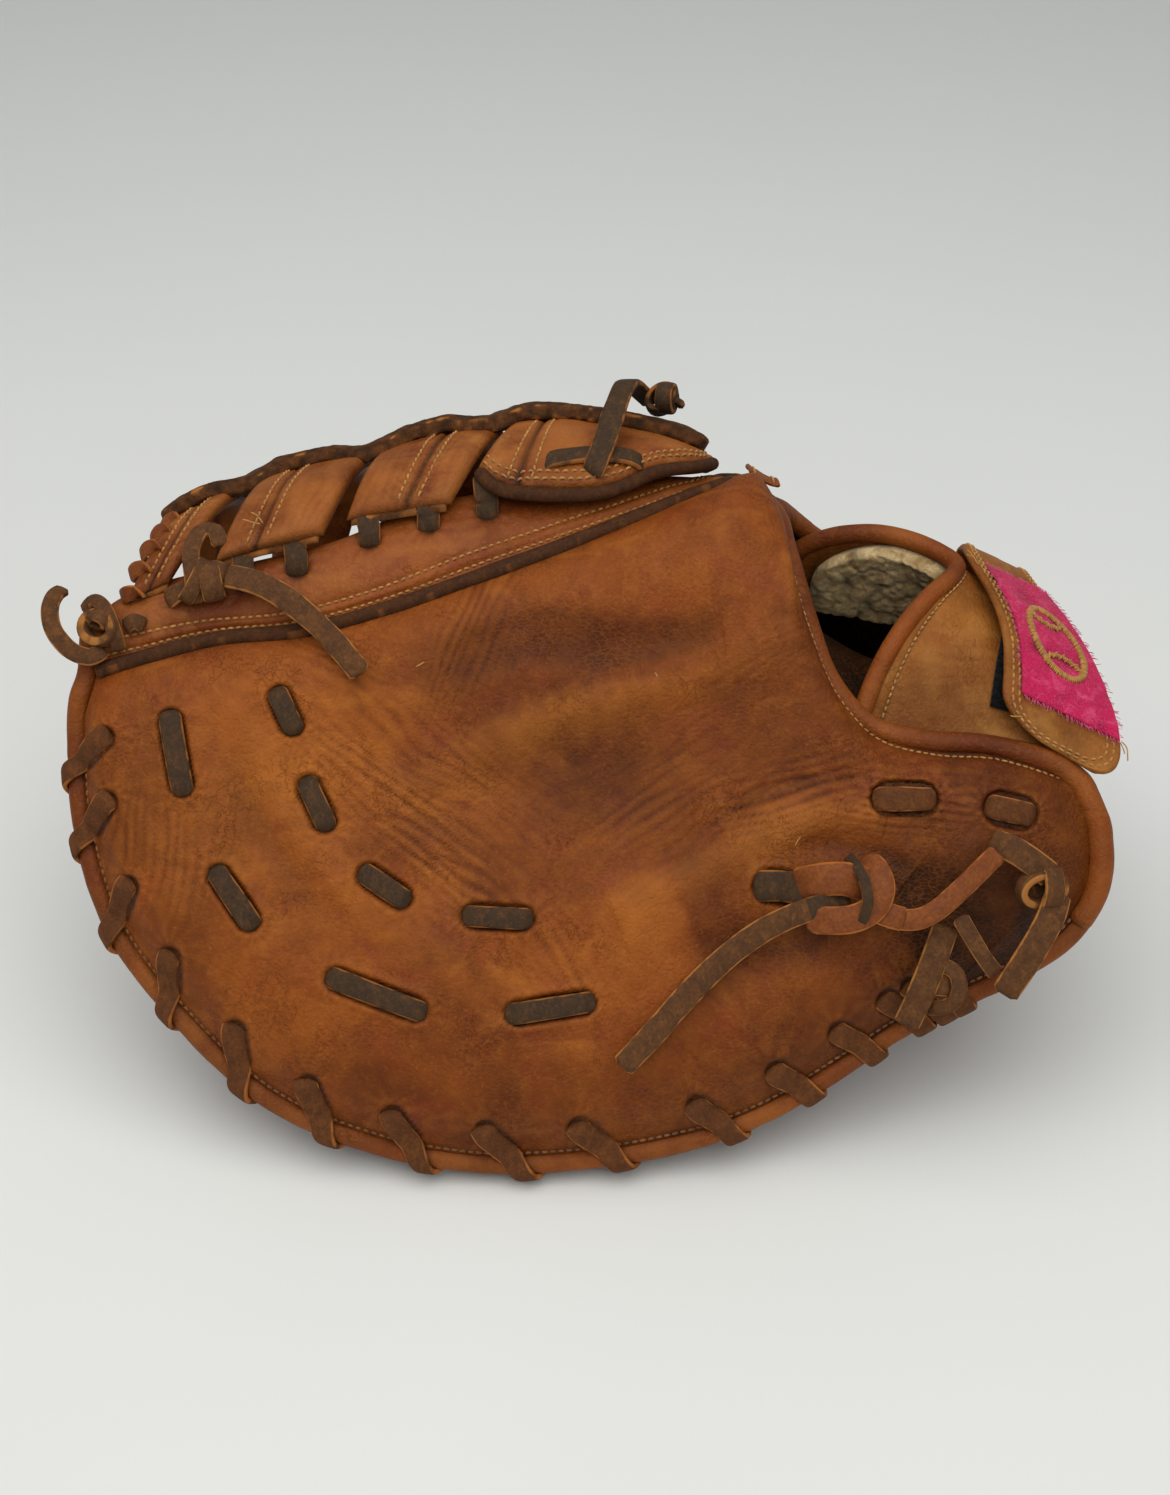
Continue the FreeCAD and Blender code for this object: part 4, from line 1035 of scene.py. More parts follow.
def make_welt(half, fan, crossings, seed):
    u = np.linspace(0, 1, 420)
    s, t = rim_at(fan, u, ROLL_INSET)
    rows = np.array(past_tip(half, ROLL_RISE + 2.4)
                    + list(zip(s, t, np.full(len(s), ROLL_RISE))))
    s, t, h = relaxed(resample(rows, 1.0), 6).T
    centre = half.back(s, t, h)
    squeeze = np.zeros(len(s))
    for at in crossings:
        spot = rim_at(fan, at, ROLL_INSET)
        squeeze = squeeze + np.exp(-(np.hypot(s - spot[0], t - spot[1]) / 2.8)**2)
    girth = 1 + 0.05 * noise(centre, 14, seed) + 0.03 * noise(centre, 4, seed + 1) - 0.1 * squeeze
    worn = 0.35 + 0.6 * noise(centre, 18, seed + 2) + 0.3 * noise(centre, 5, seed + 3)
    # dark: painted shade where the whipped laces press into the roll
    return sweep(centre, outward(half, s, t, h), round_section(ROLL_R, 20), girth, girth,
                 dark=np.clip(0.12 + 0.6 * squeeze, 0, 1)[:, None],
                 worn=np.clip(worn, 0, 1)[:, None], blunt=2.5)


def palm_side(s, inset):
    """Height of the palm's outside, below the sheet, a little way in from the rim."""
    depth, d = smooth(PALM_DEPTH, s), np.maximum(inset - RIM_INSET, 0)
    near_rim = np.exp(-d / 20)
    return -depth + (depth - EDGE_HEIGHT) * near_rim - np.maximum(0, 22 - depth) * (1 - near_rim)


def whip_rows(fan, crossings):
    """Where each whipped turn lies on the back shell: from its hole to the rim's roll."""
    return [tuple(float(v) for v in (*rim_at(fan, u - WHIP_LEAN, WHIP_HOLE),
                                     *rim_at(fan, u - 0.004, WHIP_FOOT))) for u in crossings]


def make_rim_lace(half, fan, crossings, surface, seed):
    """Lace whipped over the rim, from holes in the back shell to holes in the palm."""
    loops, count = [], 70
    for n, u in enumerate(crossings):
        rng = np.random.default_rng(seed + n)
        rows = []
        for lean, inset, lift in ((1.0, WHIP_HOLE, -1.8), (0.94, 13.4, 0.4), (0.82, 11.4, 1.3),
                                  (0.48, 7.6, 1.2), (0.27, 5.2, 1.5)):
            s, t = rim_at(fan, u - WHIP_LEAN * lean, inset)
            rows.append((s, t, surface.height(s, t)[0] + lift))
        near = rim_at(fan, u, 13)
        under = palm_side(near[0], 12.0)
        reach = ROLL_R + WRAP_GAP
        for lean, turn in ((-0.003, 85), (0.0, 125), (0.003, 165), (0.006, 205), (0.009, 250)):
            turn = math.radians(turn)
            rows.append((*rim_at(fan, u + lean, ROLL_INSET + reach * math.cos(turn)),
                         ROLL_RISE + reach * math.sin(turn)))
        rows += [(*rim_at(fan, u + 0.012, 10.5), under - 1.2),
                 (*rim_at(fan, u + 0.013, 13.5), under + 1.2)]
        rows = [[float(v) for v in row] for row in rows]
        spots, out = laid(rows, count, half.back)
        ups = unit(spots - half.back(*rim_at(fan, u, 9.5), -1.0))
        share = np.clip(np.linspace(2.2, -1.2, count), 0, 1)[:, None]
        loops.append(lace(spots, unit(ups * (1 - share) + unit(out) * share),
                          width=7.4 + rng.uniform(-0.5, 0.5), thick=2.1, seed=seed + n, tip=0.4,
                          blunt=2.4, taper=0.82))
    return gather(*loops)


def make_dash(surface, row, width, seed):
    """One lace dash, dipping into its holes at both ends."""
    (s0, t0), (s1, t1) = row[:2], row[2:]
    k = np.array([-0.03, 0.06, 0.16, 0.5, 0.84, 0.94, 1.03])
    s, t = between(s0, s1, k), between(t0, t1, k)
    h = surface.height(s, t) + np.array([0, 0.6, 1.1, 1.35, 1.1, 0.6, 0])
    h[0], h[-1] = h[1] - 0.9, h[-2] - 0.9
    return lace(*laid(np.stack([s, t, h], -1), 40, surface.half.back), width=width, thick=2.3,
                seed=seed, tip=0.25, blunt=3.0, spacing=0.5)


BAND_ROWS = (3.6, 7.4)      # of stitches, from the seam


def make_band(half, fan, tops, size, holes, seed):
    """The band above the seam, with its two rows of stitches and the binding over its edge."""
    share = (len(tops) - 1) / (len(fan) - 1)
    u, b = spread(size[0])[:, None], spread(size[1], 0.03)[None]
    s0, t0 = seam_at(half, fan, u * share)
    top = along(tops, u)
    s1, t1 = top[..., 0], top[..., 1]
    if half is FINGER:
        t1 = half.from_rise(s1, t1)
    width = np.hypot(s1 - s0, t1 - t0)
    s, t = between(s0, s1, b), between(t0, t1, b)
    d, e = b * width, (1 - b) * width
    spots = np.stack([s, t], -1)
    relief = 0.5 * noise(spots, 22, seed) + 0.25 * noise(spots, 7, seed + 1)
    for n, (centre, reach, angle) in enumerate((
            ((-45, 182), (20, 10), 60), ((-98, 172), (16, 8), 40), ((0, 197), (22, 8), 75),
            ((30, 205), (14, 8), 20), ((-128, 160), (16, 10), 80))):
        if half is THUMB:
            centre = (centre[0], centre[1] - 62)
        relief = relief + wrinkles(s, t, centre, reach, angle, 2.9, 0.45, seed + 5 + 3 * n)
    dark = np.zeros(s.shape)
    for n, hole in enumerate(holes):
        r = np.hypot(s - hole[0], t - hole[1])
        relief = relief + rays(s, t, hole, 9 + n % 3, 6, 0.4, seed + n)
        relief = relief - 1.2 * bell(r, 3.2)
        # painted shade in the holes that the web's laces go through
        dark = np.maximum(dark, np.exp(-(r / 3.2)**4))
    quiet = clear_of(d, 3) * clear_of(e, 2)
    h = EDGE_HEIGHT + 0.3 + relief * quiet + 1.1 * np.sin(np.pi * b)
    for row in BAND_ROWS:
        h = h - 0.5 * bell(d - row, 0.8)
    h = h + 0.35 * bell(d - 5.5, 1.2)
    outer, inner = half.back(s, t, h), half.back(s, t, h - LEATHER)
    # crease_shade: painted shade in the band's valleys, and darker along its seam edge; lighter on
    # its ridges, partly wear and partly painted highlight
    crease_shade = np.clip(-relief * quiet / 2.5, 0, 0.4) + 0.4 * bell(e, 2.5)
    part = slab(outer, inner, np.clip(dark + crease_shade, 0, 1), np.clip(relief / 2, 0, 0.7), coarse=2)
    surface = Surface(half, s, t, h)
    rows = []
    for n, gap in enumerate(BAND_ROWS):
        k = gap / width
        line = np.concatenate([between(s0, s1, k), between(t0, t1, k)], 1)
        rows.append(stitches(*surface.line(line[4:-4]), radius=0.4, lift=0.15, seed=seed + n))
    seam_s, seam_t = seam_at(half, fan, np.linspace(0, share, 260))
    flat = np.zeros(len(seam_s))
    centre = half.back(seam_s, seam_t, flat + EDGE_HEIGHT + 1.6)
    wobble = noise(centre, 11, seed + 3)
    section = round_section(1.0, 16) * np.array([2.5, 2.0])
    frayed = np.clip(0.35 + 0.9 * noise(centre, 3.0, seed + 4), 0, 1)[:, None]
    low_side = np.where(section[:, 0] > 0, 1.0, 0.25)[None]
    binding = sweep(centre, outward(half, seam_s, seam_t, flat), section, 1 + 0.08 * wobble,
                    1 + 0.08 * noise(centre, 4, seed + 5), dark=0.05,
                    worn=frayed * low_side * 0.55, blunt=2)
    return part, gather(*rows), binding


def make_piping(half, fan, first, surface, seed):
    """Rolled edge of the back opening and on round the heel, and the stitches beside it."""
    u = np.linspace(first, 0.985, 330)
    s0, t0 = rim_at(fan, u, RIM_INSET)
    s1, t1 = seam_at(half, fan, u)
    width = np.hypot(s1 - s0, t1 - t0)
    radius = 3.3
    reach = 1 + (radius - 0.2) / width
    s, t = between(s0, s1, reach), between(t0, t1, reach)
    flat = np.full(len(s), EDGE_HEIGHT - LEATHER / 2 + 0.3)
    rows = np.stack([s, t, flat], -1)
    if half is FINGER:
        turn = [(150.6, 117.0, 3.2), (153.2, 110.6, 3.4), (155.8, 104.2, 3.2)]
    else:
        turn = [(145.6, 106.2, 3.2), (147.8, 101.4, 3.4), (149.8, 96.8, 3.2)]
    v = np.linspace(0.975, 0.90, 60)
    rim_s, rim_t = rim_at(fan, v, 3.0)
    heel = np.stack([rim_s, rim_t, np.linspace(2.6, 0.4, 60)], -1)
    ahead = unit(rows[0] - rows[8])
    start = [rows[0] + ahead * x for x in (8, 5, 2)]
    rows = relaxed(resample(np.concatenate([start, rows, turn, heel]), 1.0), 4)
    centre = half.back(*rows.T)
    girth = 1 + 0.04 * noise(centre, 16, seed) + 0.018 * noise(centre, 2.2, seed + 1)
    girth = girth + 0.2 * step(118, 150, rows[:, 0])
    worn = np.clip(0.35 + 0.7 * noise(centre, 14, seed + 2), 0, 1)[:, None]
    roll = sweep(centre, outward(half, *rows.T), round_section(radius, 20), girth, girth,
                 dark=np.clip(0.25 * noise(centre, 9, seed + 3), 0, 1)[:, None],
                 worn=worn * 0.7, blunt=2.4)
    inset = 1 - WINDOW_STITCH / width
    line = np.stack([between(s0, s1, inset), between(t0, t1, inset)], -1)
    return roll, stitches(*surface.line(line), pitch=2.2, length=1.8, radius=0.33, lift=0.15,
                          seed=seed)


def rim_stitches(fan, surface, seed):
    u = np.linspace(0.012, 0.985, 420)
    line = np.stack(rim_at(fan, u, RIM_INSET - EDGE_TUCK + STITCH_GAP), -1)
    return stitches(*surface.line(line), pitch=2.5, length=2.0, radius=0.42, lift=0.25, seed=seed)


# ---------------------------------------------------------------- pieces over the spine
WEB_CREST = [(-135, 13), (-104, 18.5), (-79, 19.5), (-62, 21), (-42, 23.5), (-12, 25.5),
             (16, 22.5), (34, 18.5), (46, 13)]
BAR_FOOT = [(-135, 4.8), (-105, 6.5), (45, 6.5)]
BAR_THICK = [(-135, 3.2), (-105, 5.0), (45, 5.0)]
STRAP_THICK = 4.5
WEB_BARS = {
    "web_bar_a": [[(-141, 24), (-135, 52), (-131, 88), (-131, 122), (-131, 158)],
                  [(-128, 24), (-118, 52), (-110, 88), (-113, 122), (-119, 158)]],
    "web_bar_b": [[(-114, 26), (-109, 50), (-103, 88), (-104, 122), (-107, 152)],
                  [(-81, 28), (-75, 52), (-69, 88), (-76, 122), (-83, 152)]],
    "web_bar_c": [[(-74, 33), (-70, 56), (-65, 88), (-67, 120), (-71, 144)],
                  [(-42, 33), (-34, 56), (-27, 88), (-34, 120), (-43, 144)]],
    "web_base": [[(-34, 47), (-23, 88), (-31, 136)], [(-24, 37), (-14, 88), (-20, 140)],
                 [(4, 37), (6, 88), (4, 137)], [(22, 50), (22, 88), (18, 124)],
                 [(34, 60), (34, 87), (31, 110)], [(40, 74), (41, 84), (40, 94)]]}


def bar_spots(lines, across, u):
    """Points (s, turn) of a bar: u of the way along it, by across from one edge to the other."""
    cross = np.stack([along([line[k] for line in lines], across) for k in range(len(lines[0]))])
    x = np.clip(u, 0, 1) * (len(cross) - 1)
    n = np.minimum(x.astype(int), len(cross) - 2)
    k = (x - n)[:, None, None]
    a, b, c, d = (cross[np.clip(n + i, 0, len(cross) - 1)] for i in (-1, 0, 1, 2))
    spots = 0.5 * (2 * b + (c - a) * k + (2 * a - 5 * b + 4 * c - d) * k**2
                   + (3 * b - a - 3 * c + d) * k**3)
    return spots[..., 0], spots[..., 1]


def web_height(s, turn):
    """Outside of the bars above the folded sheet: highest at the spine, low at both ends."""
    crown = smooth(WEB_CREST, s) - STRAP_THICK - CLEAR
    foot = smooth(BAR_FOOT, s) + smooth(BAR_THICK, s)
    rise = np.sin(np.radians(np.clip((turn - 30) / 116, 0, 1) * 180))**0.7
    return foot + np.maximum(crown - foot, 0) * rise


class WebPiece:
    """A bar or the base of the web: its outside by across and along, and its stitch rows."""

    def __init__(self, name, seams, size, puff, seed, pleats):
        self.lines = WEB_BARS[name]
        self.across, self.u = spread(size[1], 0.05), spread(size[0], 0.02)
        s, turn = bar_spots(self.lines, self.across, self.u)
        self.thick = smooth(BAR_THICK, s)
        a = self.across[None]
        width = np.linalg.norm(over(s[:, -1], turn[:, -1], 8) - over(s[:, 0], turn[:, 0], 8),
                               axis=1)[:, None]
        place = over(s, turn, 8)
        relief = 0.5 * noise(place, 16, seed) + 0.3 * noise(place, 5, seed + 1)
        relief = relief + pleats * wrinkles(s, turn * 0.9, (s.mean(), 60), (30, 60), 4, 4.2, 1.0,
                                            seed + 2)
        relief = relief + 0.35 * wrinkles(s, turn * 0.9, (s.mean(), 40), (26, 18), 70, 3.2, 1.0,
                                          seed + 4)
        h = puff * (np.sqrt(np.clip(1 - (2 * a - 1)**2, 0, 1)) - 0.8)
        # painted shade in the dips of the relief
        dark = np.clip(-relief / 2, 0, 0.4)
        for at, step_up in seams:
            gap = (a - at) * width
            h = h - 1.1 * bell(gap, 0.9) + step_up * step(-0.4, 0.4, gap)
            h = h - 0.4 * np.exp(-((np.abs(gap) - 2.2) / 0.7)**2)
            dark = np.maximum(dark, 0.9 * bell(gap, 0.8))
        self.s, self.turn = s, turn
        self.h = web_height(s, turn) + h + relief * np.minimum(1, 4 * a * (1 - a) + 0.2)
        ends = np.minimum(self.u, 1 - self.u)[:, None]
        # painted shade at the bar's ends, where it meets the band, and along both its edges beside
        # the next pieces
        dark = np.clip(dark + 0.5 * np.exp(-ends / 0.02) + 0.3 * np.exp(-a * width / 2)
                       + 0.3 * np.exp(-(1 - a) * width / 2), 0, 1)
        # paler from wear, and lighter on the ridges of the relief as painted highlight
        self.part = slab(over(s, turn, self.h), over(s, turn, web_height(s, turn) - self.thick),
                         dark, np.clip(0.3 + relief, 0, 0.8), coarse=2, radius=3.2)

    def line(self, u, across):
        """Points on the outside along a path given by u and across, with their directions."""
        rows = np.interp(u, self.u, np.arange(len(self.u)))
        cols = np.interp(across, self.across, np.arange(len(self.across)))
        i = np.clip(rows.astype(int), 0, len(self.u) - 2)
        j = np.clip(cols.astype(int), 0, len(self.across) - 2)
        x, y = rows - i, cols - j
        s, turn, h = (g[i, j] * (1 - x) * (1 - y) + g[i + 1, j] * x * (1 - y)
                      + g[i, j + 1] * (1 - x) * y + g[i + 1, j + 1] * x * y
                      for g in (self.s, self.turn, self.h))
        spots = over(s, turn, h)
        return spots, over(s, turn, h + 1) - spots


def make_bars():
    plans = {"web_bar_a": ([(0.5, 0.4)], (121, 41), 1.2, 41, 0.5),
             "web_bar_b": ([(0.40, 0.5)], (121, 61), 2.3, 43, 0.15),
             "web_bar_c": ([(0.56, -0.5)], (121, 61), 2.3, 47, 0.15),
             "web_base": ([(0.22, 0.4)], (121, 121), 0.8, 53, 0.1)}
    bars = {}
    for name, (seams, size, puff, seed, pleats) in plans.items():
        piece = WebPiece(name, seams, size, puff, seed, pleats)
        rows = []
        u = np.linspace(0.04, 0.96, 160)
        share = 2.3 / 70 if name == "web_base" else 2.3 / 30
        for at, _ in seams:
            for side in (-1, 1):
                across = np.full(len(u), at + side * share * (1.6 if name == "web_bar_a" else 1))
                rows.append(stitches(*piece.line(u, across), seed=seed + side + 1,
                                     pitch=2.6, length=2.1, radius=0.4))
        bars[name] = (piece, rows)
    return bars


def make_bar_linings(bars):
    """The inner layer of each bar, whose cut edge shows at the bar's two ends."""
    linings = []
    for name in ("web_bar_a", "web_bar_b", "web_bar_c"):
        piece = bars[name][0]
        for low, high in ((-0.022, 0.16), (0.84, 1.022)):
            u = np.linspace(low, high, 25)
            across = np.linspace(0.07, 0.93, 25)
            s, turn = bar_spots(piece.lines, across, np.clip(u, 0, 1))
            turn = turn + ((u - np.clip(u, 0, 1)) * 110)[:, None]
            top = web_height(s, np.clip(turn, 24, 158)) - 2.2 * smooth(BAR_THICK, s) / 5
            ragged = 0.5 * noise(over(s, turn, top), 4, 61)
            linings.append(slab(over(s, turn, top + ragged - 0.6), over(s, turn, top - 2.2),
                                0.1, np.clip(0.5 + ragged, 0, 1)))
    return gather(*linings)


def make_spine_strap():
    """Thick strap along the spine, dark and crumbly, rubbed to suede along its edges."""
    s = np.linspace(-136, 38, 300)
    sway = 1.6 * noise(np.stack([s, s * 0], -1), 26, 71)
    turn, top = 88 + sway, smooth(WEB_CREST, s)
    for gap in (-110, -71, -33):
        dip = bell(s - gap, 7.5)
        top = top - 2.6 * dip
        turn = turn - 2.8 * dip
    thick = STRAP_THICK + 1.2
    centre = over(s, turn, top - thick / 2)
    ups = over(s, turn, top + 1) - centre
    a = np.linspace(0, 2 * math.pi, 64, endpoint=False) + 0.05
    x = np.sign(np.cos(a)) * np.abs(np.cos(a))**0.35 * 11.5
    y = np.sign(np.sin(a)) * np.abs(np.sin(a))**0.6 * thick / 2 - x**2 / 110
    wide = 1 + 0.06 * noise(np.stack([s, s * 0], -1), 8, 72)
    part = sweep(centre, ups, np.stack([x, y], -1), wide, 1, blunt=9, tip=0.4)
    spots = part.points[0]
    out = unit(spots - np.repeat(centre, 64, 0))
    grit, crumbs = noise(spots, 5, 73), noise(spots, 1.9, 74)
    part.points[0] = spots + out * (0.55 * grit + 0.35 * crumbs + 0.2)[:, None]
    rim = np.tile(np.exp(-((np.abs(x) - 10.8) / 0.6)**2), len(s))
    part.worn[0] = np.clip(rim * (0.25 + 0.9 * crumbs) + 0.5 * (grit - 0.35) + 0.1, 0, 1)
    part.dark[0] = np.clip(0.3 - 0.6 * crumbs, 0, 0.7)
    return part


def make_base_trim(piece):
    """Binding along the base's curved edge, and two rows of stitches beside it."""
    across = np.linspace(0.005, 0.995, 240)
    s, turn = bar_spots(WEB_BARS["web_base"], across, np.array([0.0]))
    s, turn = s[0], turn[0]
    h = web_height(s, turn)
    centre = over(s, turn - 2.6, h - 1.9)
    ups = over(s, turn - 2.6, h) - centre
    frayed = np.clip(0.3 + 0.9 * noise(centre, 3, 82), 0, 1)[:, None]
    section = round_section(1.0, 16) * np.array([2.3, 2.1])
    roll = sweep(centre, ups, section, 1 + 0.08 * noise(centre, 9, 83), 1, dark=0.1,
                 worn=frayed * np.where(section[:, 1] > 0, 0.2, 0.8)[None] * 0.6, blunt=2)
    rows = []
    span = bar_spots(WEB_BARS["web_base"], across, np.array([1.0]))[1][0] - turn
    keep = slice(8, 214)
    for n, gap in enumerate((3.2, 6.8)):
        depth = np.degrees(gap / (SPINE_R + 14))
        u = np.clip(depth / np.maximum(span, 20), 0.01, 0.5)
        rows.append(stitches(*piece.line(u[keep], across[keep]), seed=84 + n, pitch=2.6,
                             length=2.1, radius=0.4))
    return roll, rows


FINGER_LOOPS = [(-106, 16, 30), (-90, 17, 31), (-68, 25, 37), (-50, 28, 37), (-32, 32, 42)]
THUMB_LOOPS = [(-101, 168, 150), (-88, 166, 150), (-66, 158, 142), (-49, 157, 142),
               (-28, 151, 138), (8, 145, 134)]


def make_web_loops(ends, seed):
    """Laces from inside the bars' ends down through the band."""
    loops = []
    for n, (s, foot, head) in enumerate(ends):
        way = np.sign(foot - head)
        inside = web_height(np.array([float(s)]), np.array([float(head)]))[0] - 4.2
        rows = [(s, head - way * 3, inside), (s, head, inside),
                (s + 0.5, (head + foot) / 2, (inside + 7) / 2 + 0.4),
                (s + 1, foot + way * -3.5, 7.6), (s + 1, foot, 6.0),
                (s + 1, foot + way * 2.2, 3.0)]
        loops.append(lace(*laid(rows, 40, over), width=7.0, thick=2.6, seed=seed + n))
    return gather(*loops)


def make_edge_whips():
    whips = []
    for n, turn in enumerate((26, 37, 48, 59, 70, 82, 108, 120, 132, 144)):
        lines = WEB_BARS["web_bar_a"]
        s = float(bar_spots(lines, np.array([0.0]), np.array([(turn - 24) / 134]))[0][0, 0])
        top = float(web_height(np.array([s]), np.array([float(turn)]))[0])
        rows = [(s + 5, turn - 3, top - 1.2), (s + 3.4, turn - 2, top + 0.5), (s, turn, top + 0.5),
                (s - 1.7, turn + 2, top - 1.8), (s - 0.8, turn + 4, top - 4.4)]
        spots = laid(rows, 30, over)[0]
        core = over(s + 14, turn, top - 3)
        whips.append(lace(spots, unit(spots - core), width=5.0, thick=1.7, seed=90 + n))
    return gather(*whips)


def ring_of_lace(centre, across, beside, radii, width, seed, tilt, thick=2.0):
    """A closed turn of lace round a knot, its flat side outwards."""
    a = np.linspace(0, 2 * math.pi, 49)
    across, beside = unit(np.asarray(across, float)), unit(np.asarray(beside, float))
    axis = np.cross(across, beside)
    ring = (centre + across * (radii[0] * np.cos(a))[:, None]
            + beside * (radii[1] * np.sin(a))[:, None] + axis * (tilt * np.sin(a + seed))[:, None])
    return lace(ring, unit(ring - centre) + axis * 0.001, width=width, thick=thick, seed=seed,
                closed=True)


def make_crotch_lace():
    """Wide dash through the base, and the strap that loops over the spine to its knot."""
    base = web_height(np.array([2.0]), np.array([47.0]))[0]
    rows = [(-13.5, 46, base - 2.2), (-12, 46.2, base + 0.4), (-6, 47, base + 1.5),
            (2, 48, base + 1.7), (10, 48.5, base + 1.3), (15, 48.5, base - 0.2),
            (16.5, 48.5, base - 2.4)]
    dash = lace(*laid(rows, 40, over), width=7.6, thick=2.4, seed=101)
    rows = [(1.5, 40, base - 1.0), (2.5, 42, base + 2.4), (5, 50, base + 4.6), (8, 60, 26),
            (11, 72, 30.5), (13.5, 84, 32.2), (17, 93, 31), (21, 97, 28.5)]
    strap = lace(*laid(rows, 60, over), width=7.4, seed=102)
    spot = over(24, 92, 29)
    out = unit(over(24, 92, 33) - spot)
    wide = np.array([1.0, 0, 0])
    beside = np.cross(out, wide)
    turns = [ring_of_lace(spot, wide + out * 0.3, out, (4.6, 3.9), 6.0, 103, 1.2),
             ring_of_lace(spot + wide * 1.5 - beside, out, beside, (4.2, 4.8), 5.5, 104, 1.4)]
    end = [spot + wide * 2, spot + wide * 5 - out, spot + wide * 7 - out * 2.5]
    end = resample(np.array(end), 1)
    turns.append(lace(end, np.tile(out, (len(end), 1)), width=5.5, seed=105))
    return gather(dash, strap, *turns)


def make_seam_strip():
    """Cover strip over the seams' meeting point, with its stitches."""
    u, b = spread(41, 0.1)[:, None], spread(33, 0.1)[None]
    s, turn = 50.5 + 10 * b + 0 * u, 66 + 21 * u + 0 * b
    place = over(s, turn, 11)
    lumps = 0.35 * noise(place, 5, 111)
    h = 12.0 + lumps - 0.5 * bell(b - 0.2, 0.07) - 0.5 * bell(b - 0.8, 0.07)
    # darker in the dips between its lumps: painted shade
    part = slab(over(s, turn, h), over(s, turn, 10.3 + 0 * h), np.clip(-lumps, 0, 0.5), 0.2)
    rows = []
    for at in (52.5, 58.5):
        t = np.linspace(67, 86, 30)
        spots = over(np.full(30, at), t, 11.7)
        rows.append(stitches(spots, over(np.full(30, at), t, 12.7) - spots, seed=int(at)))
    return part, rows


def palm_edge_lift(half, fan, tops, s):
    """How far the palm's top edge stands towards the hand at each s."""
    u = np.linspace(0.5, 1, 160)
    s0, t0 = rim_at(fan, u, RIM_INSET)
    top = along(tops, u)
    t1 = half.palm_start(top[:, 0]) - 1 + PALM_SPINE_R * top[:, 1]
    near_rim = np.exp(-np.hypot(top[:, 0] - s0, t1 - t0) / 20)
    return np.interp(s, top[:, 0], (smooth(PALM_DEPTH, top[:, 0]) - EDGE_HEIGHT) * near_rim)


def make_crease():
    """The palm's crease: a strip under the spine that laps behind both palms' edges."""
    u, b = spread(97, 0.02)[:, None], spread(73, 0.02)[None]
    lap, length = 6.0, PALM_SPINE_R * SPINE_TURN
    x = b * (length + 2 * lap) - lap + 0 * u
    s = 57 + (91.5 - 9 * b) * u
    lift = palm_edge_lift(FINGER, FINGER_FAN, FINGER_PALM_TOP, s) * np.exp(-x / 14) \
        + palm_edge_lift(THUMB, THUMB_FAN, THUMB_PALM_TOP, s) * np.exp(-(length - x) / 14)
    lift = lift + (LEATHER + 0.3) * step(3.0, -1.0, np.minimum(x, length - x))
    lumps = np.maximum(0.5 * noise(np.stack([s, x], -1), 9, 121), -0.2)
    outer, inner = np.zeros(s.shape + (3,)), np.zeros(s.shape + (3,))
    for half, mask, own in ((FINGER, x <= length / 2, x), (THUMB, x > length / 2, length - x)):
        reach = half.palm_start(s) + own
        outer = np.where(mask[..., None], half.palm(s, reach, lift - 0.6 * lumps), outer)
        inner = np.where(mask[..., None], half.palm(s, reach, lift + LEATHER), inner)
    # darker all over, and painted shade in the dips between its lumps
    return shade_inside(slab(outer, inner, np.clip(0.3 - lumps, 0, 0.7), 0, coarse=2), s.size)


# ---------------------------------------------------------------- wrist band and strap
BAND_WEB_EDGE = [(80, 80.4, 99.6), (84, 86.5, 109), (90, 96, 120), (98, 107, 128),
                 (107, 118, 132), (115, 128, 133), (117, 136, 132.5), (112, 143, 133),
                 (102, 148.5, 134.5), (91, 152, 134.5), (79, 154.5, 131.5), (69, 157, 125),
                 (66, 160, 114), (68, 163, 103)]
BAND_ARM_EDGE = [(150, 70.5, 87), (150, 77, 96), (149, 86, 104), (147, 95, 109.5),
                 (145, 105, 113), (143, 115, 114.5), (142, 124, 115), (141, 133, 114.5),
                 (141, 141, 113), (141, 147, 110.5), (141, 152, 107), (141, 156, 102),
                 (141, 159, 96), (141, 161, 90)]
STRAP_WEB_EDGE = [(133, 76.5, 107.5), (127, 83, 115.5), (127.5, 92, 121), (128, 101, 126.5),
                  (127, 111, 130.3), (125, 121, 132.5), (122.5, 131, 133.5), (121, 140, 133.5),
                  (121, 148.5, 131), (121, 156, 126), (121, 161.5, 119.5), (121, 165, 112)]
STRAP_ARM_EDGE = [(158, 66.5, 97.5), (162.5, 74, 101), (162, 82.5, 106.5), (159.5, 96, 111),
                  (156, 108, 115.5), (151.5, 120, 118.5), (147, 131, 120.5), (144.5, 141, 120.5),
                  (143.5, 150, 118.5), (143.5, 157.5, 113.5), (143.5, 162.5, 107),
                  (143.5, 165, 100)]
WRIST, STRAP = (BAND_WEB_EDGE, BAND_ARM_EDGE), (STRAP_WEB_EDGE, STRAP_ARM_EDGE)
STRAP_RISE = 0.7         # of the strap's middle above its own two edges
WRIST_SEAM = 0.1         # the row of stitches, as a share of the way to the arm's edge
STRAP_TURNS_AT = 0.80    # where the flap's hinge lies, as a share of the strap's length
STRAP_LENGTH = 128.0     # along its middle
BAND_UNDER = 2.2         # from the wrist band's outside to its inside


def web_to_arm(edges, u, f):
    u, f = np.broadcast_arrays(np.asarray(u, float), np.asarray(f, float))
    a, b = along(edges[0], u), along(edges[1], u)
    return a + (b - a) * f[..., None] + FLOOR_SHIFT


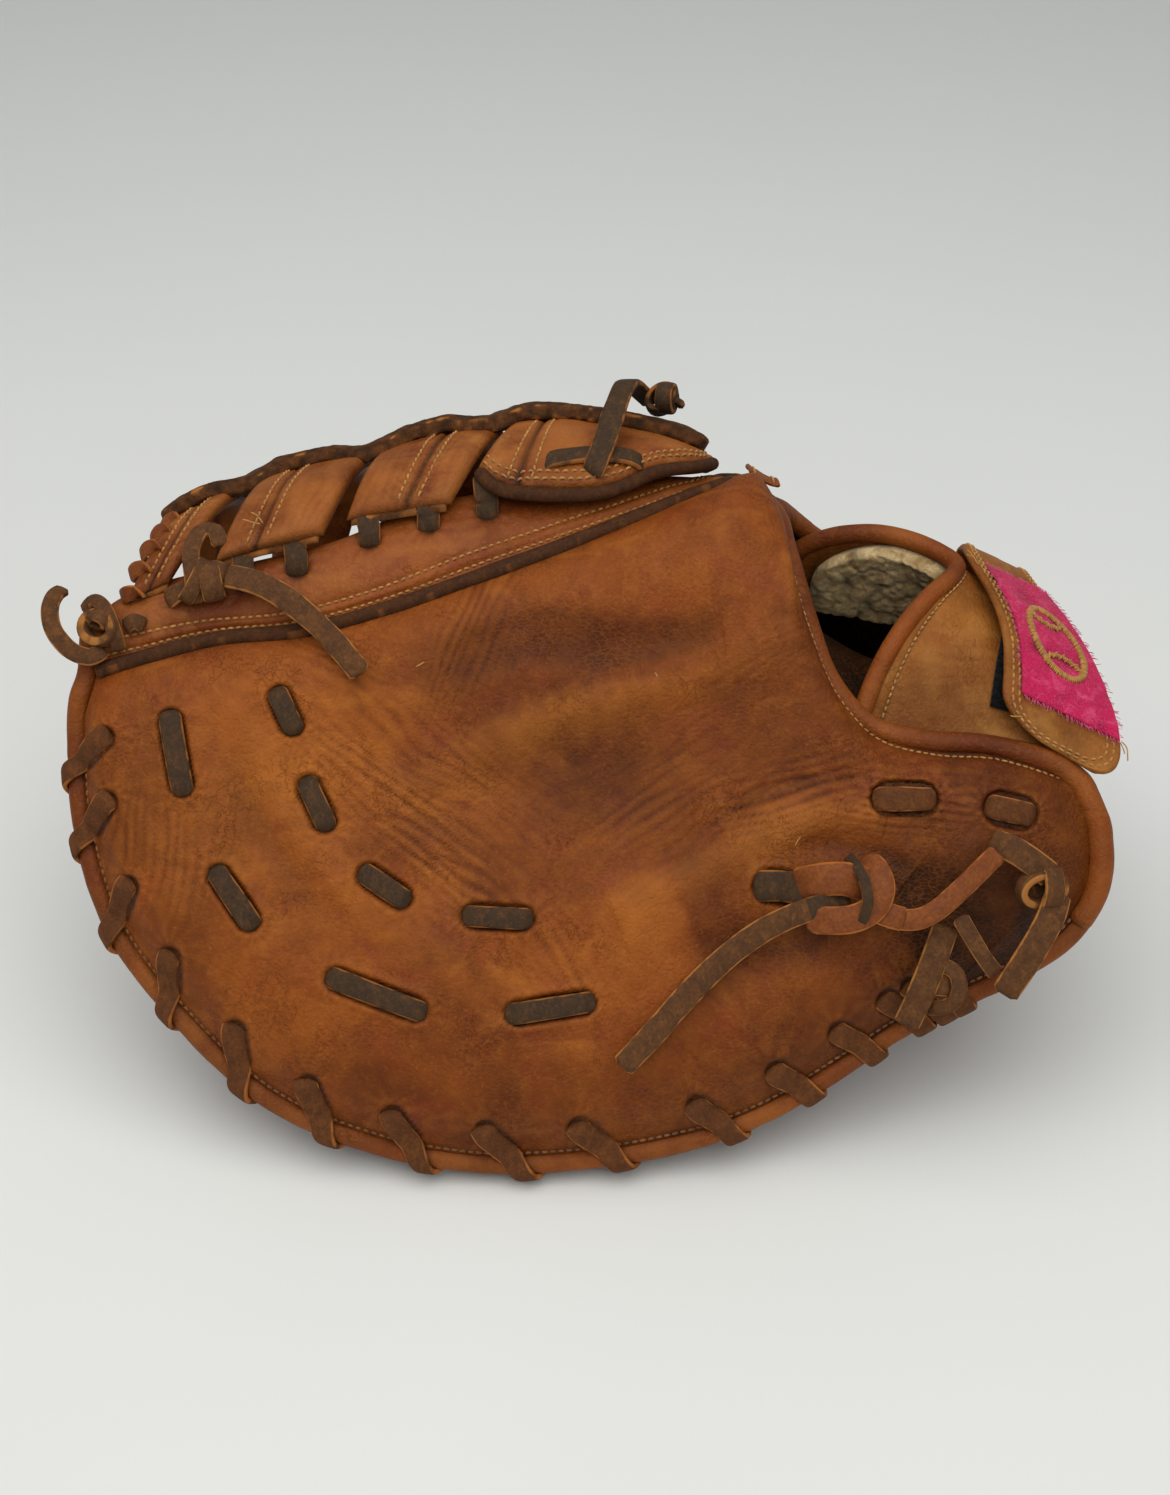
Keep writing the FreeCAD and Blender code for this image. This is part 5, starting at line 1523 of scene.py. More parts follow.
def sheet_point(edges, u, f, height):
    """Points above the sheet between two edges, u along them and f from one to the other."""
    u, f, height = np.broadcast_arrays(*(np.asarray(v, float) for v in (u, f, height)))
    ahead = web_to_arm(edges, u + 0.02, f) - web_to_arm(edges, u - 0.02, f)
    across = web_to_arm(edges, u, 1) - web_to_arm(edges, u, 0)
    return web_to_arm(edges, u, f) - unit(np.cross(ahead, across)) * height[..., None]


def on_sheet(edges, u, f, height):
    spots = sheet_point(edges, u, f, height)
    return spots, sheet_point(edges, u, f, np.asarray(height) + 1.0) - spots


def make_wrist_band():
    u, f = spread(161, 0.02)[:, None], (0.035 + 0.965 * spread(61, 0.03))[None]
    place = web_to_arm(WRIST, u, f)
    relief = 0.45 * noise(place, 14, 131) + 0.2 * noise(place, 5, 132)
    flat = np.stack([u * 140 + 0 * f, f * 50 + 0 * u], -1)
    for n, (centre, reach, angle) in enumerate((((30, 30), (20, 12), 70), ((60, 38), (24, 10), 20),
                                                ((100, 25), (24, 12), 80))):
        relief = relief + wrinkles(flat[..., 0], flat[..., 1], centre, reach, angle, 3.0, 0.4,
                                   133 + 3 * n)
    seam = bell(f - WRIST_SEAM, 0.012)
    outer = sheet_point(WRIST, u, f, relief - 0.45 * seam)
    inner = sheet_point(WRIST, u, f, -BAND_UNDER)
    # darker along the stitched seam; painted shade in the dips of the relief and painted highlight
    # on its ridges
    part = slab(outer, inner, np.clip(0.45 * seam - relief / 3, 0, 0.6), np.clip(relief, 0, 0.6),
                coarse=2)
    at = np.linspace(0.02, 0.98, 220)
    row = stitches(*on_sheet(WRIST, at, np.full(220, WRIST_SEAM), np.full(220, 0.0)), seed=141,
                   pitch=2.2, length=1.8, radius=0.34)
    edge = web_to_arm(WRIST, np.linspace(0, 1, 260), 0.0) + np.array([0, 0, -1.2])
    girth = 1 + 0.03 * noise(edge, 12, 142) + 0.015 * noise(edge, 2.5, 143)
    worn = np.clip(0.4 + 0.7 * noise(edge, 12, 144), 0, 1)[:, None]
    roll = sweep(edge, carried_ups(edge), round_section(3.0, 20), girth, girth,
                 dark=0.05, worn=0.7 * worn, blunt=2)
    return part, row, roll


def make_fleece():
    """Curly wool lining of the wrist band."""
    u, f = (0.02 + 0.96 * spread(261, 0.02))[:, None], (0.1 + 0.86 * spread(121, 0.03))[None]
    place = web_to_arm(WRIST, u, f)
    warped = place + 1.4 * np.stack([noise(place, 6, 151 + k) for k in range(3)], -1)
    lumps = np.clip(tufts(warped, 4.9, 154), 0, 1.1)
    curls = noise(warped, 1.7, 155)
    domes = np.sqrt(np.clip(1.15 - lumps**2, 0, 1.2))
    height = -BAND_UNDER - CLEAR - 3.2 - 2.4 * domes - 0.35 * curls
    inner = sheet_point(WRIST, u, f, height)
    outer = sheet_point(WRIST, u, f, -BAND_UNDER - 0.3)
    # painted shade between the tufts, and a little more in the curls
    dark = np.clip((lumps - 0.45) * 1.3, 0, 0.8) + 0.1 * np.abs(curls)
    return slab(inner, outer, np.clip(dark, 0, 1), 0, coarse=4, radius=1.2)


def round_corners(u, f, start, radius):
    """Draws f in towards the strap's middle near its loose end, to round the corners."""
    away = np.abs(u - start) * STRAP_LENGTH
    inset = radius - np.sqrt(np.maximum(radius**2 - np.clip(radius - away, 0, radius)**2, 0))
    width = np.linalg.norm(web_to_arm(STRAP, u, 1) - web_to_arm(STRAP, u, 0), axis=-1)
    return 0.5 + (f - 0.5) * (1 - 2 * inset / width)


def strap_layer(span, f_span, top, thick, size, seed, radius=0.0, bumps=0.25, bump_size=9):
    u, f = np.broadcast_arrays(steps(span, size[0], 0.03)[:, None],
                               steps(f_span, size[1], 0.05)[None])
    if radius:
        f = round_corners(u, f, span[0], radius)
    place = web_to_arm(STRAP, u, f)
    relief = bumps * noise(place, bump_size, seed) + 0.3 * bumps * noise(place, 2.5, seed + 1)
    outer = sheet_point(STRAP, u, f, STRAP_RISE + top + relief)
    inner = sheet_point(STRAP, u, f, STRAP_RISE + top - thick)
    # darker in the dips of the relief and lighter on its bumps: painted shade and highlight
    return slab(outer, inner, np.clip(-relief, 0, 0.5), np.clip(relief * 2, 0, 0.6), coarse=2)


def strap_edge_line(inset, radius):
    """A line round the loose end of the strap, that far inside its edge."""
    width, length, count = 33.0, STRAP_LENGTH, 420
    straight = np.linspace(STRAP_TURNS_AT * 0.985, (radius + inset) / length, count // 3)
    a = np.linspace(0, math.pi / 2, count // 8)
    corner_u = (inset + radius - radius * np.sin(a)) / length
    corner_f = (inset + radius - radius * np.cos(a)) / width
    f_line = np.linspace((inset + radius) / width, 1 - (inset + radius) / width, count // 8)
    u = np.concatenate([straight, corner_u, np.full(len(f_line), inset / length),
                        corner_u[::-1], straight[::-1]])
    f = np.concatenate([np.full(len(straight), inset / width), corner_f, f_line,
                        1 - corner_f[::-1], np.full(len(straight), 1 - inset / width)])
    keep = np.concatenate([[True], np.hypot(np.diff(u) * length, np.diff(f) * width) > 0.05])
    return on_sheet(STRAP, u[keep], f[keep], np.full(keep.sum(), STRAP_RISE))


def fibres(spots, directions, ups, length, radius, seed, curl=0.5):
    """Short loose threads that stand out from the given spots."""
    rng = np.random.default_rng(seed)
    strands = []
    for spot, way, up in zip(spots, directions, ups):
        reach = length * rng.uniform(0.5, 1.3)
        k = np.linspace(0, 1, 6)[:, None]
        side = np.cross(way, up)
        bend = rng.normal(0, curl, 2)
        path = (spot + way * reach * k + side * reach * bend[0] * k**2 * (1 - 0.3 * k)
                + up * reach * (0.25 + 0.3 * abs(bend[1])) * k * (1.3 - k))
        girth = np.linspace(1, 0.6, 6)
        strands.append(sweep(path, np.tile(up, (6, 1)) + side * 0.01, round_section(radius, 5),
                             girth, girth, dark=rng.uniform(0, 0.5), worn=rng.uniform(0, 1),
                             blunt=0.1))
    return gather(*strands)


def strap_run(u, f):
    """Directions along the strap."""
    return unit(web_to_arm(STRAP, u + 0.02, f) - web_to_arm(STRAP, u - 0.02, f))


def make_patch():
    span, f_span = (0.13, 0.56), (0.14, 0.98)
    body = strap_layer(span, f_span, 1.35, 1.0, (121, 61), 161, bumps=0.45, bump_size=5)
    rng = np.random.default_rng(162)
    count = 230
    side = rng.integers(0, 4, count)
    k = rng.uniform(0, 1, count)
    u = np.select([side == 0, side == 1], span, span[0] + (span[1] - span[0]) * k)
    f = np.select([side == 2, side == 3], f_span, f_span[0] + (f_span[1] - f_span[0]) * k)
    spots, ups = on_sheet(STRAP, u, f, np.full(count, STRAP_RISE + 0.9))
    middle = sheet_point(STRAP, np.mean(span), np.mean(f_span), STRAP_RISE + 0.9)
    along_f = unit(web_to_arm(STRAP, u, 1) - web_to_arm(STRAP, u, 0))
    away = np.where((side < 2)[:, None], strap_run(u, f), along_f)
    away = away * np.sign(((spots - middle) * away).sum(-1, keepdims=True))
    fringe = fibres(spots, away, unit(ups), 1.8, 0.12, 163)
    count = 420
    u, f = rng.uniform(*span, count), rng.uniform(*f_span, count)
    spots, ups = on_sheet(STRAP, u, f, np.full(count, STRAP_RISE + 1.3))
    a = rng.uniform(0, 2 * math.pi, count)[:, None]
    run = strap_run(u, f)
    across = unit(np.cross(ups, run))
    fuzz = fibres(spots, run * np.cos(a) + across * np.sin(a), unit(ups), 1.3, 0.09, 164, 0.9)
    return body, gather(fringe, fuzz)


def make_emblem():
    """A generic ball in satin stitch: a ring, and two arcs with short seam stitches."""
    rows = []
    a = np.linspace(0, 2 * math.pi, 241)
    lift = STRAP_RISE + 1.9
    ring = on_sheet(STRAP, 0.33 + 0.098 * np.cos(a), 0.56 + 0.26 * np.sin(a), np.full(241, lift))
    rows.append(stitches(*ring, pitch=0.62, length=2.6, radius=0.36, lift=0.05, seed=171,
                         slant=1.25))
    for way in (-1, 1):
        b = np.linspace(-0.72, 0.72, 61)
        u = 0.33 + way * (0.108 - 0.063 * np.cos(b * 1.2))
        arc = on_sheet(STRAP, u, 0.56 + 0.26 * np.sin(b * 1.05), np.full(61, lift - 0.1))
        rows.append(stitches(*arc, pitch=0.6, length=1.6, radius=0.32, lift=0.05, seed=172 + way,
                             slant=1.4))
        rows.append(stitches(*arc, pitch=2.2, length=3.4, radius=0.3, lift=0.25, seed=175 + way,
                             slant=0.95 * way))
    return gather(*rows)


# ---------------------------------------------------------------- knots and loose ends
def strand(rows, width, seed, thick=2.1, blunt=1.0, tip=0.62):
    """A lace through (s, t, h) rows on the finger half."""
    return lace(*laid(rows, 12 * len(rows), FINGER.back), width=width, thick=thick, seed=seed,
                blunt=blunt, tip=tip)


def axes_at(s, t, h, place=FINGER.back):
    """A spot on the sheet with directions along s, along t and outwards."""
    spot = place(s, t, h)
    return (spot, unit(place(s + 1, t, h) - spot), unit(place(s, t + 1, h) - spot),
            unit(place(s, t, h + 1) - spot))


def make_heel_knot(shell):
    hole = float(shell.height(52, 86)[0])
    dark = [
        strand([(49.5, 86, hole - 2.4), (51.5, 86, hole + 0.8), (57, 86, hole + 2.4),
                (63, 85.4, 21.2), (69, 85, 20.6)], width=9.6, seed=201, thick=2.8, tip=0.5,
               blunt=3.5),
        strand([(77.5, 81.5, 23), (73, 80.6, 25.4), (69, 80.2, 26.6), (64.5, 79, 26)], width=7.4,
               seed=203),
        strand([(77.5, 94.5, 21), (79, 92.4, 27), (81, 88, 30.8), (82, 82, 31.6), (81, 77, 30.4),
                (79, 73, 25)], width=3.4, seed=202, thick=2.4, tip=0.8)]
    warm = [
        strand([(63.5, 86.5, 19.5), (66.5, 87.4, 23.6), (71, 88.2, 26.0), (76, 88.2, 26.4),
                (80.5, 87, 24.6), (83, 86, 21.5)], width=10.4, seed=204, thick=5.6, tip=0.7),
        strand([(82, 94, 20.5), (85, 90.5, 25.4), (86.2, 85, 28), (83.8, 79.6, 28.8),
                (78, 76.6, 28.8), (71, 76, 27.6), (64.5, 76.4, 24.4)], width=8.4, seed=206,
               thick=3.0, tip=0.25, blunt=5),
        strand([(83, 80, 26.2), (88, 77.8, 27.3), (93.5, 76.2, 27.2)], width=7.2, seed=207,
               thick=2.6)]
    return gather(*dark), gather(*warm)


def make_heel_lace_knot():
    spot, run, rise, out = axes_at(134.5, 85.5, 24.0)
    return gather(
        strand([(119.5, 99.5, 23), (125.5, 97, 26), (131, 93.4, 27), (137, 89, 25)], width=8.0,
               seed=211, blunt=0.4, thick=2.6),
        ring_of_lace(spot, run, rise * 0.85 + out * 0.4, (6.4, 4.8), 5.6, 212, 1.6, thick=2.8),
        ring_of_lace(spot + run * 2.0, out, rise + run * 0.3, (4.6, 5.6), 6.0, 213, 1.8,
                     thick=2.6),
        strand([(139, 84, 25), (136.5, 77, 26.6), (130.5, 66, 26.2), (123, 54, 23.6)], width=8.6,
               seed=214, blunt=0.4, thick=2.6),
        strand([(110, 77, 24), (113, 71.5, 25.4), (117, 65, 25), (121, 60, 22.6)], width=5.0,
               seed=215, blunt=0.4),
        strand([(106.5, 74, 20), (102, 62, 21.2), (98, 52, 20), (94.8, 44.5, 17.4)], width=8.2,
               seed=216, blunt=0.4, thick=2.6),
        strand([(101, 60.5, 15.5), (104.5, 62.4, 19.4), (108.8, 60.6, 21.4), (110.2, 56, 21.8),
                (108.4, 51.5, 20.8), (104, 49.6, 17.5), (101.5, 50, 14.5)], width=4.6, seed=217,
               thick=3.2),
        strand([(98.5, 56.4, 16), (102, 56.6, 19.4), (106.5, 56.2, 19.8), (109, 56, 17)],
               width=6.4, seed=218, thick=2.6))


def make_tip_knot():
    spot, run, rise, out = axes_at(-148.5, 161.5, 10.0)
    return gather(
        ring_of_lace(spot, run, rise, (5.4, 4.4), 4.4, 221, 1.8, thick=3.4),
        ring_of_lace(spot + rise * 2.2 + out, run + out * 0.5, out, (3.4, 2.8), 4.6, 222, 1.2,
                     thick=2.6),
        strand([(-142.5, 157, 7.5), (-143.5, 161, 11.5), (-146.5, 165.5, 13.2), (-151, 168, 11),
                (-154, 166.5, 7.5)], width=4.6, thick=2.6, seed=224),
        strand([(-141, 163, 7), (-138, 164.5, 8.6), (-135, 164, 6.5)], width=5.0, seed=225),
        strand([(-147, 156.5, 8.5), (-151, 154.0, 11), (-157, 154.8, 12.8), (-161.8, 158.5, 13),
                (-164, 164, 12.5), (-163.6, 169.5, 11), (-161.5, 172.5, 10)], width=5.4,
               thick=2.4, seed=223, blunt=0.4))


def make_web_knot():
    spot, run, rise, out = axes_at(-115.5, 175.5, 10.0)
    return gather(
        ring_of_lace(spot + run, rise, out, (5.0, 4.2), 7.0, 231, 1.2, thick=2.6),
        ring_of_lace(spot - run * 4, rise * 0.9 + run * 0.5, out, (6.6, 4.0), 4.8, 232, 1.8),
        strand([(-128.5, 171, 6.2), (-125, 172.5, 8.6), (-120, 174, 9.6)], width=6.0, seed=233,
               blunt=0.4),
        strand([(-119, 170, 9), (-120, 176, 12.4), (-121, 182, 12.6), (-119, 188, 12.5),
                (-114.5, 189, 11.5), (-112.5, 185, 10.5)], width=5.2, seed=234),
        strand([(-116, 177, 11.5), (-113, 177, 13.3), (-110, 176.5, 12)], width=7.2, seed=235))


HEEL_TAIL_LONG = [(66, 79.5, 26), (59, 77, 25.5), (49, 71.5, 23), (38, 62.5, 21), (27, 51, 20),
                  (18.5, 41, 20.5), (10, 32.5, 22)]
HEEL_TAIL_SHORT = [(88, 77, 26.5), (95, 75.5, 27), (102, 78, 26.5), (109, 84, 26),
                   (115.5, 90.5, 26.5), (121, 96, 27.5)]
WEB_TAIL = [(-110, 176.5, 12), (-103, 176, 12.5), (-94, 173.5, 13), (-85, 168, 14),
            (-76, 159.5, 16), (-68, 149.5, 18.5)]


def spline_points(name, route):
    """The smooth line of a lace end: a NURBS spline with the route's points as control points."""
    curve = bpy.data.curves.new(name, "CURVE")
    curve.dimensions = "3D"
    curve.resolution_u = 24
    spline = curve.splines.new("NURBS")
    spline.points.add(len(route) - 1)
    for point, spot in zip(spline.points, route):
        point.co = (*(FINGER.back(*spot) * 0.001), 1)
    spline.order_u = 3
    spline.use_endpoint_u = True
    holder = bpy.data.objects.new(name, curve)
    bpy.context.scene.collection.objects.link(holder)
    mesh = bpy.data.meshes.new_from_object(holder)
    points = np.array([v.co for v in mesh.vertices], float)
    bpy.data.objects.remove(holder)
    bpy.data.meshes.remove(mesh)
    return points


def make_tail(name, route, width, material, seed):
    """A free lace end along a spline through its route, at the route's full length."""
    points = spline_points(name + "_route", route)
    rows = np.array([FINGER.back(*spot) for spot in route])
    ups = np.array([FINGER.back(s, t, h + 1) for s, t, h in route]) - rows
    share = travelled(points) / travelled(points)[-1]
    at = travelled(rows) / travelled(rows)[-1]
    ups = np.stack([np.interp(share, at, ups[:, k]) for k in range(3)], -1)
    part = lace(points * 1000, ups, width=width, thick=2.2, seed=seed, blunt=0.5, spacing=0.8)
    piece = mesh_piece(name + "_end", part, material, "finger_half", "lace_leather", name)


# ---------------------------------------------------------------- building every piece
# shares of the finger rim where its lace is whipped over: even along the front, wider past the
# middle, then bunched where the heel is tied
FINGER_WHIPS = [0.03, *np.linspace(0.068, 0.425, 8), *np.linspace(0.5, 0.66, 3), 0.72, 0.745,
                0.765]


THUMB_WHIPS = [(n + 0.6) / (11 + 0.3) for n in range(11)]


def build_half(half, fan, palm_top, band_top, dashes, extra, folds, patches, crossings, corner,
               loops, shell_size, seed):
    """Everything that belongs to one half's shell; extra is the lacing at the heel."""

    def put(name, part, material, slot, *nodes):
        return mesh_piece(half.name + name, part, material, half.body, slot,
                          *(half.name + node for node in nodes))

    whips = whip_rows(fan, crossings)
    holes = lace_holes(dashes) + lace_holes(extra) + [row[:2] for row in whips]
    if half is FINGER:
        holes.append((51, 86))
        extra = extra + [(50.5, 86, 62, 85.4)]
    laces = [(width, row) for width, rows in ((6.9, dashes), (9.6, extra), (6.6, whips))
             for row in rows]
    part, surface = make_back_shell(half, fan, folds, patches, holes, laces, shell_size, corner,
                                    seed)
    put("_back", part, SHELL, "shell_leather", "_back_shell")
    put("_pocket", make_palm(half, fan, palm_top, (201, 101), seed + 50), SHELL, "shell_leather",
        "_palm")
    put("_welt", make_welt(half, fan, crossings, seed + 60), ROLLED, "shell_leather", "_rim_welt")
    put("_rim_lacing", make_rim_lace(half, fan, crossings, surface, seed + 70), WHIP,
        "lace_leather", "_rim_lace")
    rows = [make_dash(surface, row, 6.7, seed + 90 + n) for n, row in enumerate(dashes)]
    put("_dashes", gather(*rows), LACE, "lace_leather", "_pad_lace")
    holes = []
    for s, foot, _ in loops:
        turn = math.radians(foot)
        if half is THUMB:
            turn = SPINE_TURN - turn
        holes.append((s + 1, float(half.face_length(float(s)) + SPINE_R * turn)))
    band, seams, binding = make_band(half, fan, band_top, (301, 49), holes, seed + 110)
    put("_band", band, BAR, "tan_leather", "_web_band")
    put("_binding", binding, BINDING, "dark_leather", "_band_binding")
    roll, window_row = make_piping(half, fan, corner, surface, seed + 120)
    put("_piping", roll, ROLLED, "shell_leather", "_window_piping")
    put("_band_stitches", seams, GOLD, "thread")
    put("_window_stitches", window_row, GOLD, "thread")
    put("_rim_stitches", rim_stitches(fan, surface, seed + 130), BROWN_THREAD, "thread")
    under = LEATHER + CLEAR
    pad = padded_sheet(half, fan, palm_top, under, under + 5, (0.06, 0.86), (0.12, 0.6), (91, 41),
                       seed + 140)
    put("_felt", pad, FELT, "felt_pad", "_pad")
    heel = padded_sheet(half, fan, palm_top, under, under + 6, (0.87, 0.985), (0.12, 0.7),
                        (31, 41), seed + 141)
    put("_heel_felt", heel, FELT, "felt_pad", "_heel_pad")
    low = under + 5 + CLEAR
    liner = padded_sheet(half, fan, palm_top, low, low + THIN_LEATHER, (0.06, 0.86), (0.14, 0.8),
                         (121, 61), seed + 142)
    put("_liner", liner, LINING, "lining_leather", "_stall_liner")
    return surface


def build_loop(name, half, s, t, low, high, node):
    """An arch of leather for one finger, which rises from the sheet and comes back to it."""
    rows = [(s, t - 15, low), (s, t - 11, (low + high) / 2), (s, t, high),
            (s, t + 11, (low + high) / 2), (s, t + 15, low)]
    spots, ups = laid(rows, 50, half.back)
    part = lace(spots + 0.8 * unit(ups), ups, width=14, thick=1.6, seed=241)
    mesh_piece(name, part, LINING, half.body, "lining_leather", node)


finger_shell = build_half(
    FINGER, FINGER_FAN, FINGER_PALM_TOP, FINGER_BAND_TOP, FINGER_DASHES, HEEL_DASHES,
    FINGER_FOLDS, FINGER_WRINKLES, FINGER_WHIPS, 9.8 / 17, FINGER_LOOPS, (521, 233), 1000)
build_half(THUMB, THUMB_FAN, THUMB_PALM_TOP, THUMB_BAND_TOP, THUMB_DASHES, [], THUMB_FOLDS,
           THUMB_WRINKLES, THUMB_WHIPS, 10.1 / 16, THUMB_LOOPS, (381, 181), 2000)
build_loop("pinky_strap", FINGER, 60, 48, -2, 9, "pinky_loop")
build_loop("thumb_strap", THUMB, 30, 55, -3, 10, "thumb_loop")

heel_rows = [make_dash(finger_shell, row, 7.4, 251 + n) for n, row in enumerate(HEEL_DASHES)]
mesh_piece("heel_lacing", gather(*heel_rows), WHIP, "finger_half", "lace_leather", "heel_lace")
dark, warm = make_heel_knot(finger_shell)
mesh_piece("heel_knot_wraps", dark, LACE, "finger_half", "lace_leather", "heel_knot")
mesh_piece("heel_knot_strands", warm, WARM_LACE, "finger_half", "lace_leather", "heel_knot")
mesh_piece("heel_lace_ties", make_heel_lace_knot(), TAIL_LACE, "finger_half", "lace_leather",
           "heel_lace_knot")
mesh_piece("tip_tie", make_tip_knot(), TAIL_LACE, "finger_half", "lace_leather", "tip_knot")
mesh_piece("web_tie", make_web_knot(), TAIL_LACE, "finger_half", "lace_leather", "web_knot")
make_tail("heel_knot_tail_long", HEEL_TAIL_LONG, 7.5, TAIL_LACE, 261)
make_tail("heel_knot_tail_short", HEEL_TAIL_SHORT, 6.4, WARM_LACE, 262)
make_tail("web_knot_tail", WEB_TAIL, 7.5, TAIL_LACE, 263)

bars = make_bars()
for name, (piece, rows) in bars.items():
    mesh_piece(name + "_leather", piece.part, BAR, "fold", "tan_leather", name)
    mesh_piece(name + "_stitches", gather(*rows), GOLD, "fold", "thread")
mesh_piece("web_bar_linings", make_bar_linings(bars), SPINE, "fold", "tan_leather",
           "web_bar_a", "web_bar_b", "web_bar_c")
mesh_piece("web_spine", make_spine_strap(), SPINE, "fold", "dark_leather", "web_spine_strap")
roll, rows = make_base_trim(bars["web_base"][0])
mesh_piece("web_base_edge", roll, BINDING, "fold", "dark_leather", "web_base_binding")
mesh_piece("web_base_edge_stitches", gather(*rows), GOLD, "fold", "thread")
mesh_piece("web_loops_finger", make_web_loops(FINGER_LOOPS, 271), LACE, "finger_half",
           "lace_leather", "web_lace_finger")
mesh_piece("web_loops_thumb", make_web_loops(THUMB_LOOPS, 281), LACE, "thumb_half",
           "lace_leather", "web_lace_thumb")
mesh_piece("web_edge_whips", make_edge_whips(), WARM_LACE, "fold", "lace_leather",
           "web_edge_lace")
mesh_piece("crotch_lacing", make_crotch_lace(), LACE, "fold", "lace_leather", "crotch_lace")
part, rows = make_seam_strip()
mesh_piece("spine_strip", part, ROLLED, "fold", "dark_leather", "spine_seam_strip")
mesh_piece("spine_strip_stitches", gather(*rows), GOLD, "fold", "thread")
mesh_piece("pocket_crease", make_crease(), SHELL, "fold", "shell_leather", "palm_crease")

part, row, roll = make_wrist_band()
mesh_piece("wrist_leather", part, TAN, "fold", "tan_leather", "wrist_band")
mesh_piece("wrist_stitches", row, GOLD, "fold", "thread")
mesh_piece("wrist_piping", roll, ROLLED, "fold", "tan_leather", "wrist_band_piping")
mesh_piece("wrist_fleece", make_fleece(), FLEECE, "fold", "fleece", "wrist_band_fleece")


def sheet_pad(edges, u_span, f_span, top, thick, seed, fuzz):
    """A piece of hook-and-loop tape with its nap, and short fibres along it."""
    u, f = steps(u_span, 121, 0.03)[:, None], steps(f_span, 61, 0.03)[None]
    place = web_to_arm(edges, u, f)
    nap = 0.28 * noise(place, 1.6, seed) + 0.2 * noise(place, 4, seed + 1)
    # darker in the dips of the nap: painted shade
    body = slab(sheet_point(edges, u, f, top + nap), sheet_point(edges, u, f, top - thick),
                np.clip(-nap, 0, 0.5), 0, coarse=2)
    rng = np.random.default_rng(seed)
    along_u, across = rng.uniform(*u_span, fuzz), rng.uniform(*f_span, fuzz)
    spots, ups = on_sheet(edges, along_u, across, np.full(fuzz, top))
    ways = unit(np.cross(ups, rng.normal(0, 1, (fuzz, 3))))
    return gather(body, fibres(spots, ways, unit(ups), 0.9, 0.08, seed + 2, 0.8))


loops = sheet_pad(WRIST, (0.14, 0.42), (0.575, 0.95), 1.5, 1.2, 301, 260)
mesh_piece("wrist_loop_tape", loops, HOOKS, "finger_half", "hook_and_loop", "wrist_loop_pad")
hooks = sheet_pad(STRAP, (0.05, 0.42), (0.06, 0.92), STRAP_RISE - LEATHER - 0.3, 1.0, 311, 160)
mesh_piece("strap_hook_tape", hooks, HOOKS, "strap", "hook_and_loop", "strap_hook_pad")
flap = strap_layer((0, STRAP_TURNS_AT), (0, 1), 0, LEATHER, (241, 81), 321, radius=8.0, bumps=0.3)
mesh_piece("strap_leather", flap, TAN, "strap", "tan_leather", "strap_flap")
root = strap_layer((STRAP_TURNS_AT + 0.02, 1), (0, 1), 0, LEATHER, (61, 61), 325)
mesh_piece("strap_root_leather", root, TAN, "fold", "tan_leather", "strap_root")
rows = [stitches(*strap_edge_line(inset, 7.0), seed=330 + n, pitch=2.5, length=2.1,
                 radius=0.38) for n, inset in enumerate((2.4, 4.2))]
mesh_piece("strap_stitches", gather(*rows), GOLD, "strap", "thread")
patch, fuzz = make_patch()
mesh_piece("strap_patch_cloth", patch, PATCH, "strap", "patch_fabric", "strap_patch")
mesh_piece("strap_patch_fibres", fuzz, PINK_THREAD, "strap", "patch_fabric")
mesh_piece("strap_ball_motif", make_emblem(), GOLD, "strap", "thread", "strap_emblem")


def thread_end(spot, way, up, length, seed):
    rng = np.random.default_rng(seed)
    k = np.linspace(0, 1, 14)[:, None]
    side = np.cross(way, up)
    path = spot + way * length * k + side * length * rng.normal(0, 0.35) * k**2 \
        + up * length * (0.5 * k - 0.3 * k**2)
    path = path + 0.5 * noise(path, 3, seed)[:, None] * side
    return sweep(path, np.tile(up, (14, 1)) + 0.01 * side, round_section(0.22, 6), dark=0.2,
                 blunt=0.1)


def slanted_end(place, s, t, h, angle, lean, length, seed):
    """A thread end on the sheet, at that many degrees from the s direction."""
    spot, run, rise, out = axes_at(s, t, h, place)
    a = math.radians(angle)
    return thread_end(spot, run * math.cos(a) + rise * math.sin(a), out * lean, length, seed)


ends = []
for u, f, way_u, way_f, length, seed in (
        (0.135, 1.0, -0.6, 0.6, 6, 341), (0.13, 0.99, -1, 0.2, 4, 342),
        (0.55, 0.03, 0.7, -0.8, 6, 343), (0.57, 0.02, 0.2, -1, 4, 344),
        (0.06, 0.1, -0.3, -1, 4, 345)):
    spot, up = on_sheet(STRAP, np.array([u]), np.array([f]), np.array([STRAP_RISE + 0.2]))
    run = unit(web_to_arm(STRAP, u + 0.02, f) - web_to_arm(STRAP, u, f))
    cross = unit(web_to_arm(STRAP, u, 1) - web_to_arm(STRAP, u, 0))
    ends.append(thread_end(spot[0], unit(run * way_u + cross * way_f), unit(up[0]), length, seed))
mesh_piece("strap_thread_ends", gather(*ends), GOLD, "strap", "thread")
ends = [slanted_end(FINGER.back, s, t, float(finger_shell.height(s, t)[0]) - 0.1, angle, 0.4,
                    length, seed)
        for s, t, angle, length, seed in ((62, 98, 60, 4, 351), (-52, 152, 20, 3, 352),
                                          (20, 150, -50, 3, 353))]
mesh_piece("shell_thread_ends", gather(*ends), GOLD, "finger_half", "thread")
